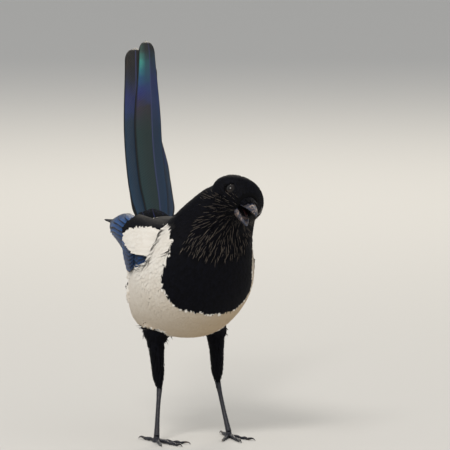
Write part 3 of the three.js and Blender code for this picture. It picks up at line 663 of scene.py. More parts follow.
def tail_covert(where, above, row):
    """A covert over the root of the tail, above or below it: where runs from -1 to 1 across it."""
    away = 1 if above else -1
    reach = (21 - 3 * abs(where) - 2 * row) if above else (58 - 12 * abs(where) - 12 * row)
    clear = 1.2 + 0.6 * row if above else -8.4 - 0.9 * row

    def place(x, d, h):
        t = (x - TAIL_FROM) / (reach - TAIL_FROM)
        middle = where * (4 + 5 * t) - t * TAIL_BEND / 2
        height = tail_top(x) + clear - away * (1.5 * (1 - t) + 1.2 * abs(where) - h)
        return np.stack([x, middle + d, height], -1) @ TAIL_AXES + TAIL_ROOT

    return vane(place, TAIL_FROM, reach, 7.5, rounding=12, rows=14)


# The skin and the lie of the coat


def arrays_of(made):
    """The points and triangles of an object with its modifiers on."""
    seen = made.evaluated_get(bpy.context.evaluated_depsgraph_get())
    mesh = bpy.data.meshes.new_from_object(seen)
    mesh.calc_loop_triangles()
    points = np.zeros(len(mesh.vertices) * 3)
    mesh.vertices.foreach_get("co", points)
    faces = np.zeros(len(mesh.loop_triangles) * 3, int)
    mesh.loop_triangles.foreach_get("vertices", faces)
    bpy.data.meshes.remove(mesh)
    return points.reshape(-1, 3), faces.reshape(-1, 3)


def rough_object(points, faces):
    """A plain object in millimetres, for a modifier to work on."""
    mesh = bpy.data.meshes.new("rough")
    mesh.from_pydata(points.tolist(), [], [f for group in faces for f in group.tolist()])
    made = bpy.data.objects.new("rough", mesh)
    bpy.context.scene.collection.objects.link(made)
    return made


def forget(*objects):
    for made in objects:
        mesh = made.data
        bpy.data.objects.remove(made)
        bpy.data.meshes.remove(mesh)


def point_normals(points, faces):
    """The normal at each point: the sum of the area normals of the triangles that meet there."""
    corner = points[faces]
    area = np.cross(corner[:, 1] - corner[:, 0], corner[:, 2] - corner[:, 0])
    normals = np.zeros_like(points)
    for k in range(3):
        np.add.at(normals, faces[:, k], area)
    return unit(normals)


def relax(points, faces, times):
    """Moves each point half way to the middle of its neighbours, so many times."""
    edges = np.concatenate([faces[:, [0, 1]], faces[:, [1, 2]], faces[:, [2, 0]]])
    count = np.bincount(edges.ravel(), minlength=len(points))[:, None]
    for _ in range(times):
        total = np.zeros_like(points)
        np.add.at(total, edges[:, 0], points[edges[:, 1]])
        np.add.at(total, edges[:, 1], points[edges[:, 0]])
        points = (points + total / np.maximum(count, 1)) / 2
    return points


def outward(points, faces):
    """The same points with every group of faces turned outwards."""
    return points, (faces if volume(points, faces) > 0 else [group[:, ::-1] for group in faces])


def section_grid(rows, sides):
    """Places along a form and angles round it, as a grid."""
    return np.meshgrid(np.linspace(0, 1, rows), np.linspace(0, 2 * np.pi, sides, False), indexing="ij")


def head_with_mouth():
    """The head's oval sections as a solid, with the mouth's wedge cut out of it."""
    x, z = GAPE
    reach, wide, clear = 22, 20, 0.15  # the wedge's length, half width and play over the roof
    drop = math.tan(GAPE_OPEN) * reach
    corners = np.array([[x, z + clear], [x + reach, z + clear], [x + reach, z - drop]])
    wedge = np.array([[a, y, b] for y in (-wide, wide) for a, b in corners])
    wedge_faces = [np.array([[0, 1, 2], [3, 5, 4]]), np.array([[0, 3, 4, 1], [1, 4, 5, 2], [2, 5, 3, 0]])]
    head = rough_object(*outward(*closed_loft(head_point(*section_grid(60, 64)))))
    tool = rough_object(*outward(wedge, wedge_faces))
    cut = head.modifiers.new("mouth", "BOOLEAN")
    cut.operation, cut.solver, cut.object = "DIFFERENCE", "EXACT", tool
    points, faces = arrays_of(head)
    forget(head, tool)
    return from_head(points), [faces]


def whole_body(voxel):
    """Trunk, head and thighs as one closed surface of even small faces."""
    forms = [trunk_point(*section_grid(110, 84)), *(thigh_rings(leg) for leg in LEGS.values())]
    parts = [outward(*closed_loft(form)) for form in forms]
    rough = rough_object(*join_parts([*parts, head_with_mouth()]))
    even = rough.modifiers.new("even", "REMESH")
    even.mode, even.voxel_size = "VOXEL", voxel
    points, faces = arrays_of(rough)
    forget(rough)
    return points, outward(points, [faces])[1][0]


SECTION_SHARES = np.linspace(0, 1, 121)


def trunk_place(p):
    """Where a point lies along the trunk, from 0 to 12, and its angle in degrees from the back line
    round by the left: that of the section whose plane and middle are nearest."""
    back, front = trunk_point(SECTION_SHARES, 0.0), trunk_point(SECTION_SHARES, np.pi)
    middle, up = (back + front) / 2, unit(back - front)
    through = unit(np.cross(up, np.array([1.0, 0, 0])))
    away = p[:, None] - middle[None]
    off = np.abs(np.sum(away * through[None], -1)) + 0.12 * np.linalg.norm(away, axis=-1)
    best = np.argmin(off, 1)
    rest = away[np.arange(len(p)), best]
    angle = np.degrees(np.arctan2(rest[:, 0], np.sum(rest * up[best], -1))) % 360
    return SECTION_SHARES[best] * SECTIONS, angle


# How far back the black of head and breast reaches: angle from the back line round by the left, place
# along the trunk. Outside these angles the back is black.
BIB_EDGE = [
    [33, 6.0],
    [45, 7.3],
    [60, 8.2],
    [75, 8.8],
    [92, 8.8],
    [103, 8.3],
    [110, 7.2],
    [114, 6.3],
    [135, 6.1],
    [165, 6.3],
    [188, 6.42],
    [205, 6.42],
    [222, 6.5],
    [238, 6.75],
    [246, 7.15],
    [253, 7.85],
    [259, 8.75],
    [270, 8.8],
    [285, 8.8],
    [300, 8.2],
    [315, 7.3],
    [327, 6.0],
]


def leg_distance(p):
    """Each point's distance from the nearer thigh's middle line, and its share along it."""
    best, share = np.full(len(p), 1e3), np.zeros(len(p))
    for leg in LEGS.values():
        top, way = leg["thigh"], leg["ankle"] - leg["thigh"]
        t = np.clip((p - top) @ way / (way @ way), 0, 1)
        far = np.linalg.norm(p - top - t[:, None] * way, axis=1)
        share = np.where(far < best, t, share)
        best = np.minimum(best, far)
    return best, share


def whiteness(p):
    """1 where the plumage is white, 0 where it is black: white on belly, flanks and shoulder behind the
    black breast, a black vent, black thighs, and a pale band over the rump."""
    along, angle = trunk_place(p)
    edge = np.interp(angle, *np.array(BIB_EDGE).T, left=0, right=0)
    side = np.abs(angle - 180)
    vent = along > 2.9 - 1.5 * smoothstep(25, 90, side) + 3.1 * smoothstep(90, 104, side)
    far, share = leg_distance(p)
    thigh = (share > 0.02) & (far < 12) & (p[:, 2] < 93)
    rump = (side > 135) & (along > 1.2) & (along < 2.3)
    return (((along < edge) & vent & ~thigh) | rump).astype(float)


def face_share(p):
    """1 at the bill's root, falling to 0 behind the head."""
    return smoothstep(42, 12, np.linalg.norm(to_head(p) - np.array([14, 0, -3]), axis=1))


def leg_share(p):
    """1 on the thighs, 0 on the body."""
    far, _ = leg_distance(p)
    return smoothstep(15, 9, far) * smoothstep(96, 88, p[:, 2])


def feather_size(p):
    """How long a small feather is next to the others of its kind: shorter on the face and the thighs."""
    return (1 - 0.62 * face_share(p)) * (1 - 0.6 * leg_share(p))


def coat_depth(p):
    """How far the feathers stand over the skin: least on the face, most on breast and belly."""
    face = face_share(p)
    return 2.8 - 1.9 * face - 1.3 * leg_share(p) * (1 - face)


def lie_of(p, normal):
    """The way that the feathers point: back along the body, back from the bill over the head, and down
    the thighs, flat on the surface."""
    step = 0.02
    shares = np.clip(trunk_place(p)[0] / SECTIONS, step, 1 - step)
    ahead = trunk_point(shares + step, 0.0) + trunk_point(shares + step, np.pi)
    behind = trunk_point(shares - step, 0.0) + trunk_point(shares - step, np.pi)
    from_bill = unit(to_head(p) - np.array([24, 0, -9])) @ HEAD_AXES
    near_head = smoothstep(46, 26, np.linalg.norm(p - HEAD_AT, axis=1))[:, None]
    way = unit(unit(behind - ahead) * (1 - near_head) + from_bill * near_head)
    leg = leg_share(p)[:, None]
    way = unit(way * (1 - leg) + np.array([0.0, 0.05, -1.0]) * leg)
    return unit(way - normal * dot(way, normal))


def round_angle(points, axis, sideways):
    """Angle in shares of a turn round an axis through the origin, from the way sideways."""
    across = np.cross(axis, sideways)
    return (np.arctan2(points @ across, points @ sideways) / (2 * np.pi)) % 1


def unwrap_of(points, middles):
    """An unwrap of the skin's own shape in three bands: trunk, head and the two thighs. Each runs once
    round its form, and middles, such as the middle of each point's face, choose the band and the turn."""
    fore, up, down = np.array([1.0, 0, 0]), np.array([0, 0, 1.0]), np.array([0, 0, -1.0])
    leg = np.where(middles[:, 0] < 0, 0, 1)
    tops = np.stack([limb["thigh"] for limb in LEGS.values()])[leg]
    along, angle = trunk_place(points)
    in_head, middle_in_head = to_head(points), to_head(middles)
    # For each band: turns at the points and at their middles, rise in the map, start and width there
    trunk = (angle / 360, trunk_place(middles)[1] / 360, 0.03 + 0.55 * along / SECTIONS, 0.02, 0.96)
    turns = (round_angle(p, fore, up) for p in (in_head, middle_in_head))
    head = (*turns, 0.64 + 0.16 * (in_head[:, 0] + 34) / 52, 0.02, 0.96)
    turns = (round_angle(p - tops, down, fore) for p in (points, middles))
    thighs = (*turns, 0.84 + 0.13 * leg_distance(points)[1], 0.02 + 0.5 * leg, 0.44)
    which = np.where(np.linalg.norm(middle_in_head - np.array([-6, 0, 0]), axis=1) < 27, 1, 0)
    which = np.where(leg_share(middles) > 0.5, 2, which)
    made = np.zeros((len(points), 2))
    for number, (turn, middle_turn, rise, low, wide) in enumerate((trunk, head, thighs)):
        near = middle_turn + (turn - middle_turn + 0.5) % 1 - 0.5
        made = np.where((which == number)[:, None], np.column_stack([low + wide * near, rise]), made)
    return np.clip(made, 0.002, 0.998)


class Coat:
    """A surface of points, normals and triangles that feathers grow from, white where it is pale."""

    def __init__(self, points, faces, pale):
        self.points, self.faces, self.pale = points, faces, pale
        self.normals = point_normals(points, faces)
        self.near = NearSurface(points, self.normals)

    def nearest(self, p):
        """Numbers of the surface points nearest to p."""
        return np.maximum(self.near.find(p), 0)

    def roots(self, rng, spacing, keep):
        """Random places on the surface and the normals there, thinned to one in each cube of the
        spacing's size, where keep(points) is true."""
        corner = self.points[self.faces]
        area = np.linalg.norm(np.cross(corner[:, 1] - corner[:, 0], corner[:, 2] - corner[:, 0]), axis=1)
        count = int(area.sum() / 2 / spacing**2 * ROOTS_TRIED)
        pick = rng.choice(len(area), count, p=area / area.sum())
        share = rng.random((count, 2))
        share = np.where(share.sum(1, keepdims=True) > 1, 1 - share, share)
        weights = np.column_stack([1 - share.sum(1), share])[..., None]
        points = np.sum(corner[pick] * weights, 1)
        _, first = np.unique(np.floor(points / spacing).astype(int), axis=0, return_index=True)
        first = first[keep(points[first])]
        normals = self.normals[self.faces[pick[first]]] * weights[first]
        return points[first], unit(np.sum(normals, 1))


def plume_template(kind):
    """A small feather as a thin closed leaf, whose two faces meet at its rim. Its half width grows from
    the root as a power of a sine, it is longest on its middle line, and every other column ends a
    little short, as loose barbs do. Gives each point's share along, its place across from -1 to 1, and
    how far aside and above it lies in millimetres, then the triangles."""
    columns, shares, half, thick, arch, pointed, ragged = PLUMES[kind]
    rows = len(shares)
    t = np.array(shares)[:, None] + np.zeros(columns)
    q = np.linspace(-1, 1, columns)[None] + 0 * t
    odd = np.arange(columns) % 2 == 1
    along = t * (1 - pointed * np.abs(q) ** 1.7 * t) - ragged * odd * (t == 1)
    swell = np.sin(np.pi * np.minimum(0.08 + 0.62 * t, 0.62)) ** 0.8
    width = half * (PLUME_ROOT + (1 - PLUME_ROOT) * swell)
    width = width * (1 - 0.25 * smoothstep(0.7, 1, t))
    rim = (t == 0) | (t == 1) | (np.abs(q) == 1)
    crown = arch * (1 - q**2)
    number = np.arange(rows * columns).reshape(rows, columns)
    below = number.copy()
    below[~rim] = rows * columns + np.arange((~rim).sum())
    over, under = np.where(rim, crown, crown + thick / 2), crown - thick / 2
    both = ((along, along), (q, q), (q * width, q * width), (over, under))
    values = [np.concatenate([upper.ravel(), lower[~rim]]) for upper, lower in both]
    quads = grid_faces(rows, columns)
    upside = np.concatenate([quads[:, [0, 1, 2]], quads[:, [0, 2, 3]]])
    return values, np.concatenate([upside, below.ravel()[upside][:, ::-1]])


def lay_plumes(kind, line, up, size, rng, unwrap, roll, uneven):
    """Lays a small feather along each line of points (feathers, steps, 3), with the way up at each. Its
    shape runs along the line by its share along, stands off it by its own sizes times the feather's
    size, and leans by a small random roll. It faces the way up, and a little to its sides as an arch
    does. Its length is uneven by a random share, and its tone is random. Gives arrays for make_piece."""
    (along, across, aside, above), faces = plume_template(kind)
    count, steps = line.shape[:2]
    ahead = unit(np.gradient(line, axis=1))
    up = unit(up - ahead * dot(up, ahead))
    side = np.cross(up, ahead)
    place = along[None] * (1 - uneven * rng.random((count, 1))) * (steps - 1)
    i = np.clip(place.astype(int), 0, steps - 2)
    f = (place - i)[..., None]
    row = np.arange(count)[:, None]
    out = aside[None] * size[:, None]
    rise = above[None] * size[:, None] + out * rng.normal(0, roll, (count, 1))
    made = line[row, i] * (1 - f) + line[row, i + 1] * f
    high = up[row, i] * (1 - f) + up[row, i + 1] * f
    made = made + side[row, i] * out[..., None] + high * rise[..., None]
    facing = unit(high + side[row, i] * across[None, :, None] * PLUME_ARCH)
    numbers = (faces[None] + (np.arange(count) * len(along))[:, None, None]).reshape(-1, 3)
    lie = np.stack(np.broadcast_arrays(across[None] / 2 + 0.5, along[None] + np.zeros((count, 1))), -1)
    return {
        "points": made.reshape(-1, 3),
        "faces": [numbers],
        "lie": lie.reshape(-1, 2),
        "tone": np.repeat(rng.random(count), len(along)),
        "bake": (unwrap[:, None] + (lie - 0.5) * 0.003).reshape(-1, 2),
        "facing": facing.reshape(-1, 3),
    }


def in_parts(made, feathers):
    """What lay_plumes gives, cut between feathers into parts that stay under the limit of a piece."""
    faces = made["faces"][0]
    points_each, faces_each = len(made["points"]) // feathers, len(faces) // feathers
    parts = math.ceil(len(faces) / PIECE_LIMIT)
    for numbers in np.array_split(np.arange(feathers), parts):
        first, last = numbers[0], numbers[-1] + 1
        cut = slice(first * points_each, last * points_each)
        part = {name: values[cut] for name, values in made.items() if name != "faces"}
        yield part | {"faces": [faces[first * faces_each : last * faces_each] - first * points_each]}


def body_lines(coat, rng, points, normals, length, depth, lift, mess):
    """Lines for small feathers from their roots: each starts a little inside the surface and follows it
    step by step the way the coat lies, rising to the coat's depth, and by lift over it at the tip."""
    steps = 5
    way = lie_of(points, normals)
    way = unit(way + np.cross(normals, way) * rng.normal(0, mess, (len(points), 1)))
    rise = rng.uniform(0.7, 1.2, len(points)) * lift
    at, normal = points - 0.5 * normals, normals
    line, up = [at], [normal]
    for k in range(1, steps):
        share = k / (steps - 1)
        at = at + way * (length / (steps - 1))[:, None]
        height, found = coat.near.height(at)
        normal = unit(normal * 0.4 + found * 0.6)
        want = -0.5 * (1 - share) + depth * share**0.4 + rise * share**2
        at = at + np.where(np.abs(height) < 9, want[:, None] - height, 0) * normal
        way = unit(way - normal * dot(way, normal))
        line.append(at)
        up.append(normal)
    return np.stack(line, 1), np.stack(up, 1)


# Small feathers on the wing, by Y and by the share down its sheet

# The white shoulder patch: Y, and how far down it starts and ends
WHITE_PATCH = [[-44, 0.02, 0.66], [-30, 0.06, 0.63], [0, 0.2, 0.6], [24, 0.31, 0.5], [37, 0.39, 0.41]]
PATCH_FROM, PATCH_TO = -33.0, 37.0
BLUE_FROM, BLUE_TO, BLUE_DOWN = -12, 16, 0.79
BAND_UP = -0.1  # how far the black band reaches over the sheet's upper edge
ROOTS_Y, ROOTS_DOWN = (-46, 40), (-8, 48)  # where roots are tried, the second in millimetres down
SHEET_DEEP = 52  # millimetres from the sheet's upper edge to its lower one
SHOULDER_LENGTH = 13.0  # of a small feather on the wing
FRONT_SINK, EDGE_SINK = 4.0, 5.0  # how much lower they lie at the wing's front and its upper edge
WING_SHADE_LOW = [[4, 0.76], [22, 0.97]]  # Y, and how far down the wing is bare of flank feathers
UNDER_WING = -5.2  # height of the skin under the sheet


def wing_lines(side, rng, spacing, drift, heights, keep):
    """Lines for small feathers on a wing's sheet: roots on a jittered grid of Y and share down, each line
    running back by its length and down by its drift, from the first height to the second, and lower
    near the wing's front and upper edge. keep takes the Y and share of the tips."""
    y, z = np.meshgrid(np.arange(*ROOTS_Y, spacing), np.arange(*ROOTS_DOWN, spacing), indexing="ij")
    y = (y + rng.uniform(-0.4, 0.4, y.shape) * spacing).ravel()
    down = ((z + rng.uniform(-0.4, 0.4, z.shape) * spacing) / SHEET_DEEP).ravel()
    wanted = keep(y + SHOULDER_LENGTH, down + drift)
    y, down = y[wanted], down[wanted]
    t = np.linspace(0, 1, 5)[None]
    low, high = heights
    front, edge = smoothstep(-25, -42, y)[:, None], smoothstep(0.14, BAND_UP, down)[:, None]
    lift = low + (high - low) * t**0.8 - FRONT_SINK * front - EDGE_SINK * edge
    at, out = sheet_point(side, y[:, None] + SHOULDER_LENGTH * t, down[:, None] + drift * t, lift)
    unwrap = np.column_stack([0.02 + 0.96 * (y + 46) / 90, 0.1 + 0.8 * np.clip(down, 0, 1)])
    return at, out, unwrap


def patch_edges(y):
    """How far down the sheet the white patch starts and ends."""
    at, start, end = np.array(WHITE_PATCH).T
    return np.interp(y, at, start), np.interp(y, at, end)


def in_white_patch(y, down):
    """Whether feather tips end in the white shoulder patch."""
    start, end = patch_edges(y)
    return (down > start) & (down < end) & (y > PATCH_FROM) & (y < PATCH_TO)


def in_blue_rows(y, down):
    """Whether they end in the small blue coverts under the patch."""
    return (down > patch_edges(y)[1]) & (down < BLUE_DOWN) & (y > BLUE_FROM) & (y < BLUE_TO)


def in_black_band(y, down):
    """Whether they end in the black band between the patch and the back."""
    return (down < patch_edges(y)[0] + 0.02) & (down > BAND_UP) & (y < PATCH_TO + 2)


class WingFootprint:
    """Where the folded wing lies on the body: the sheet's points, and how much the wing shades each."""

    def __init__(self, side):
        y, down = np.meshgrid(np.arange(-32, 84, 1.5), np.linspace(0.02, 0.98, 38), indexing="ij")
        at, out = sheet_point(side, y, down, UNDER_WING)
        self.near = NearSurface(at.reshape(-1, 3), out.reshape(-1, 3), reach=8)
        y, down = y.ravel(), down.ravel()
        low = np.interp(y, *np.array(WING_SHADE_LOW).T)
        shade = smoothstep(-31, -22, y) * smoothstep(82, 74, y) * smoothstep(0.02, 0.1, down)
        self.shade = shade * smoothstep(low + 0.04, low - 0.04, down)

    def over(self, p):
        """How far each point stands out over the sheet, the way out, and how much the wing covers it."""
        height, out = self.near.height(p)
        found = self.near.find(p)
        return height, out, np.where(found >= 0, self.shade[found], 0.0)


def press_under_wings(points, footprints):
    """Presses the skin in where a wing lies on it, to just under the lowest feathers."""
    for footprint in footprints:
        height, out, shade = footprint.over(points)
        over = np.where((height > 0) & (height < 13), height, 0) * shade[:, None]
        points = points - out * over
    return points


def clear_of_eyes(points):
    """Draws the skin in behind each eye ball, so that it closes round the ball inside the lids."""
    local = to_head(points)
    for side in (-1, 1):
        axes = eye_axes(side)
        rest = (local - eye_place(side)) @ axes.T
        around = np.linalg.norm(rest[:, 1:], axis=1)
        inside = (around < 4.0) & (rest[:, 0] > -1)
        rest[:, 0] = np.where(inside, np.minimum(rest[:, 0], 1.0), rest[:, 0])
        local = np.where(inside[:, None], rest @ axes + eye_place(side), local)
    return from_head(local)


# Head


def bill_point(shape, t, angle, lift=0.0):
    """A point on half of the bill: a share of its length and an angle from its left edge over its
    ridge. Its section narrows to the tip by a power curve, and the ridge bends down there."""
    t = np.asarray(t, float)
    ahead = np.maximum(t, 0)
    taper = np.sqrt(np.maximum(0, 1 - ahead**2.6 * 0.985))
    y = np.cos(angle) * (shape["half"] * (1 - 0.72 * t) * taper + lift)
    z = np.sin(angle) ** 0.8 * (shape["high"] * (1 - 0.62 * t) * taper + lift) - shape["hook"] * ahead**3
    return np.stack(np.broadcast_arrays(shape["length"] * t, y, z * shape["way"]), -1)


def roof_to_head(p):
    return p + np.array([BILL_ROOT, 0, GAPE[1] + 0.3])


def jaw_to_head(p):
    """The lower half sits turned open about the corner of the mouth."""
    p = p + np.array([JAW_START, 0, -0.3])
    c, s = math.cos(GAPE_OPEN), math.sin(GAPE_OPEN)
    turned = np.stack([c * p[..., 0] + s * p[..., 2], p[..., 1], -s * p[..., 0] + c * p[..., 2]], -1)
    return turned + np.array([GAPE[0], 0, GAPE[1]])


def bill_half(shape):
    """Half of the bill as closed rings: over its ridge from edge to edge, then back under it through a
    shallow hollow. The rings stand closer towards the tip."""
    t = np.concatenate([np.linspace(BILL_BACK, 0.8, 30), 1 - 0.2 * np.linspace(1, 0, 14)[1:] ** 1.6])
    angle = np.linspace(0, np.pi, 33)
    over = bill_point(shape, t[:, None], angle[None, :])
    share = np.linspace(0, 1, 11)[1:-1]
    edge_a, edge_b = over[:, -1:], over[:, :1]
    under = edge_a + (edge_b - edge_a) * share[None, :, None]
    hollow = np.sin(share * np.pi)[None, :] * np.clip(1 - t, 0, 1)[:, None] * shape["half"] * 0.22
    under = under + np.stack([0 * hollow, 0 * hollow, hollow * shape["way"]], -1)
    return closed_loft(np.concatenate([over, under], 1))


def eye_axes(side):
    """The way out of the eye, then two ways across it."""
    out = np.array([math.sin(EYE_LEAN), side * math.cos(EYE_LEAN), 0])
    fore = unit(np.cross(out, np.array([0, 0, 1.0])) * side)
    return np.stack([out, -fore, np.array([0, 0, 1.0])])


def eye_place(side):
    """The middle of an eye in the head's axes."""
    return EYE_AT * np.array([1, side, 1])


def from_eye(points, side):
    """From an eye's axes to the body's."""
    return from_head(points @ eye_axes(side) + eye_place(side))


def eye_ball(side):
    """The ball with a slight bulge over the pupil, pole outwards."""
    polar = np.linspace(0.02, np.pi - 0.02, 33)[:, None]
    angle = ring_angles(48)
    radius = EYE_RADIUS + EYE_BULGE * np.exp(-((polar / 0.6) ** 2))
    out, across = np.cos(polar) * radius, np.sin(polar)
    rings = np.broadcast_arrays(out, across * np.cos(angle) * radius, across * np.sin(angle) * radius)
    points, faces = closed_loft(np.stack(rings, -1))
    from_middle = np.linalg.norm(points[:, 1:], axis=1) / EYE_RADIUS / 2
    lie = np.stack([from_middle, (points[:, 0] > 0).astype(float)], -1)
    return {"points": from_eye(points, side), "faces": faces, "lie": lie}


def eye_lid(side):
    """The bare rim of the lids: a ring flattened a little from above, thicker above the eye, with fine
    folds across it."""
    rings, section = 56, 14
    a, b = ring_angles(rings).T, ring_angles(section)
    thick = LID_THICK + 0.1 * np.sin(a)
    folds = 1 + 0.06 * np.sin(a * LID_FOLDS)
    r = LID_RING + thick * folds * np.cos(b)
    out = LID_OUT + thick * 1.15 * np.sin(b)
    local = np.stack(np.broadcast_arrays(out, r * np.cos(a), r * np.sin(a) * 0.93), -1)
    faces = [grid_faces(rings + 1, section, around=True) % (rings * section)]
    return from_eye(local.reshape(-1, 3), side), faces


def tongue_rings():
    """A flat tongue that narrows as a quarter ellipse, with a groove down its middle."""
    t = np.linspace(0, 1, 18)[:, None]
    angle = ring_angles(20)
    wide = TONGUE_HALF * np.sqrt(np.maximum(1.0 - t**2, 0.01))
    groove = 0.35 * np.exp(-((np.sin(angle) / 0.35) ** 2)) * (np.cos(angle) > 0)
    x = TONGUE_BACK + TONGUE_LENGTH * t + 0 * angle
    z = 1.5 + 0.8 * np.sin(t * 3) + 0.75 * np.cos(angle) - groove
    return np.stack([x, wide * np.sin(angle), z + 0 * x], -1)


# Legs


def shank_rings(leg):
    """The bare shank: an oval tube with raised scutes down its front."""
    top, heel, sole = leg["thigh"], leg["ankle"], leg["foot"]
    down = unit(unit(heel - top) + unit(sole - heel))
    start = heel + down * -1.5
    middle = (start + sole) / 2 + np.array([0, 0.6, 0])
    rings = limb_rings([start, middle, sole], SHANK_SIZES, 30, 120)
    outward_way = unit(rings - rings.mean(1, keepdims=True))
    front = np.clip(-outward_way[..., 1:2], 0, 1)
    t = np.linspace(0, 1, len(rings))[:, None, None]
    scute = (t * SCUTES) % 1
    raised = 0.22 * (1 - smoothstep(0.82, 1.0, scute)) * (0.4 + 0.6 * scute) * front**0.7
    return rings + outward_way * raised


def toe_line(leg, toe):
    """Where a toe starts on the ground, the way it points, and the way across it."""
    heading = math.radians(leg["turn"] + toe["turn"])
    way = np.array([math.sin(heading), -math.cos(heading), 0])
    return leg["foot"] * np.array([1, 1, 0]), way, np.array([-way[1], way[0], 0])


def toe_rings(leg, toe):
    """A toe lying on the ground: rings that swell at its pads, with small plates across its top."""
    start, way, side = toe_line(leg, toe)
    t = np.linspace(0, 1, 64)[:, None]
    angle = ring_angles(20)
    pads = 3 if toe["name"] == "hind" else 5
    knuckle = 1 + 0.14 * np.cos(t * np.pi * pads)
    half = toe["thick"] / 2 * (1.15 - 0.33 * t) * knuckle
    plates = 0.13 * (1 - smoothstep(0.75, 1, (t * TOE_PLATES) % 1)) * np.clip(np.cos(angle), 0, 1)
    rise = 0.75 * (1 - t) ** 2 + half * 0.9 + 0.35 * np.sin(t * np.pi * 3) ** 2
    up = half * 0.95 * np.cos(angle) + plates + rise
    at = start + way * (toe["length"] * t)[..., None] + side * (half * np.sin(angle))[..., None]
    at[..., 2] = np.maximum(up, 0.0)
    return at


def claw_rings(leg, toe):
    """A claw: a round horn that narrows to its tip over a low arch."""
    start, way, side = toe_line(leg, toe)
    t = np.linspace(-0.08, 1, 26)[:, None]
    angle = ring_angles(16)
    long = CLAW_LENGTH * (1.25 if toe["name"] == "hind" else 1)
    reach = toe["length"] + 0.3 + long * np.sin(t * 1.25) / 1.1
    half = toe["thick"] / 2 * 0.8 * (1 - np.maximum(t, 0)) ** 0.8 + 0.12
    at = start + way * reach[..., None] + side * (half * np.sin(angle) * 0.8)[..., None]
    at[..., 2] = half + 1.1 * np.sin(np.clip(t, 0, 1) * np.pi) + 0.05 + half * np.cos(angle)
    return at


def foot_hub(leg):
    """The ball of the foot, from the shank's end down to a flat sole."""
    x, y, z = leg["foot"] + np.array([0, 0, 0.1])
    t = np.linspace(0, 1, 14)[:, None]
    angle = ring_angles(24)
    x = x + (2.2 + 1.4 * t) * np.cos(angle)
    y = y + (2.6 + 1.2 * t) * np.sin(angle)
    return np.stack([x, y, z * (1 - t) + 0 * angle], -1)


def bristle_lines(rng, count):
    """Lines for the stiff bristles over the root of the upper bill: each springs from the forehead's
    edge and runs forward a little over the horn, the longest ones beside the ridge."""
    angle = np.radians(rng.uniform(6, 174, count))
    start = rng.uniform(-0.34, -0.05, count)
    reach = start + rng.uniform(0.3, 0.62, count) * (0.75 + 0.25 * np.sin(angle))
    rise = rng.uniform(0.2, 1.7, count)
    t = np.linspace(0, 1, 5)[None]
    place = start[:, None] + (reach - start)[:, None] * t
    turn = angle[:, None] + rng.normal(0, 0.1, (count, 1)) * t
    turn = np.clip(turn, 0.03, math.pi - 0.03)
    lift = 0.15 + rise[:, None] * np.sin(np.pi * (0.15 + 0.7 * t))
    line = bill_point(BILL, place, turn, lift)
    up = np.stack([0 * turn, np.cos(turn), np.sin(turn)], -1)
    return from_head(roof_to_head(line)), up @ HEAD_AXES


# Finishes


def add(tree, kind, inputs=None, stops=None, **settings):
    """Adds a node, sets its options, fills its sockets with values or with other nodes' sockets, and
    sets the stops of a colour ramp."""
    node = tree.nodes.new(kind)
    for key, value in settings.items():
        setattr(node, key, value)
    for socket, value in (inputs or {}).items():
        if isinstance(value, bpy.types.NodeSocket):
            tree.links.new(value, node.inputs[socket])
        else:
            node.inputs[socket].default_value = value
    if stops:
        elements = node.color_ramp.elements
        while len(elements) < len(stops):
            elements.new(0.5)
        for element, (at, colour) in zip(elements, stops):
            element.position, element.color = at, colour
    return node


def new_finish(name, **shader):
    """A new material with one shader whose plain values are given, its node tree and that shader."""
    material = bpy.data.materials.new(name)
    material.use_nodes = True
    surface = material.node_tree.nodes["Principled BSDF"]
    for socket, value in shader.items():
        surface.inputs[socket.replace("_", " ")].default_value = value
    return material, material.node_tree, surface


def tint(name):
    """One of the magpie's colours with full alpha."""
    return (*getattr(bpy.context.scene.magpie_colours, name), 1.0)


def faded(colour, share):
    """A colour towards black by a share."""
    return (*(c * (1 - share) for c in colour[:3]), 1.0)


BLACK, WHITE = (0.0, 0.0, 0.0, 1.0), (1.0, 1.0, 1.0, 1.0)


def feather_map(tree):
    """The places across and along a feather, each from 0 to 1, from its own map."""
    uv = add(tree, "ShaderNodeUVMap", uv_map="Lie").outputs["UV"]
    split = add(tree, "ShaderNodeSeparateXYZ", {"Vector": uv})
    return split.outputs["X"], split.outputs["Y"]


def barb_ridges(tree, across, along, count, slant):
    """Ridges that run out from the shaft and forward, count of them along the feather: the sine of the
    share along less a part of the distance from the shaft. Also gives that distance."""
    offset = add(tree, "ShaderNodeMath", {0: across, 1: 0.5}, operation="SUBTRACT").outputs[0]
    out = add(tree, "ShaderNodeMath", {0: offset}, operation="ABSOLUTE").outputs[0]
    back = add(tree, "ShaderNodeMath", {0: out, 1: slant}, operation="MULTIPLY").outputs[0]
    place = add(tree, "ShaderNodeMath", {0: along, 1: back}, operation="SUBTRACT").outputs[0]
    turns = add(tree, "ShaderNodeMath", {0: place, 1: count * 2 * math.pi}, operation="MULTIPLY")
    return add(tree, "ShaderNodeMath", {0: turns.outputs[0]}, operation="SINE").outputs[0], out


def beyond_edge(tree, own, other):
    """The feather's own colour, or the other coat's where it lies over the edge between them."""
    stray = add(tree, "ShaderNodeAttribute", attribute_name="stray").outputs["Fac"]
    share = add(tree, "ShaderNodeMapRange", {0: stray, 1: 0.45, 2: 0.55}).outputs[0]
    return add(tree, "ShaderNodeMix", {0: share, 6: own, 7: other}, data_type="RGBA").outputs[2]


def finish_surface(tree, surface, colour, height, strength, distance=0.0002):
    """Joins a colour to the shader, and a height as relief of so many metres."""
    tree.links.new(colour, surface.inputs["Base Color"])
    inputs = {"Height": height, "Strength": strength, "Distance": distance}
    relief = add(tree, "ShaderNodeBump", inputs)
    tree.links.new(relief.outputs["Normal"], surface.inputs["Normal"])


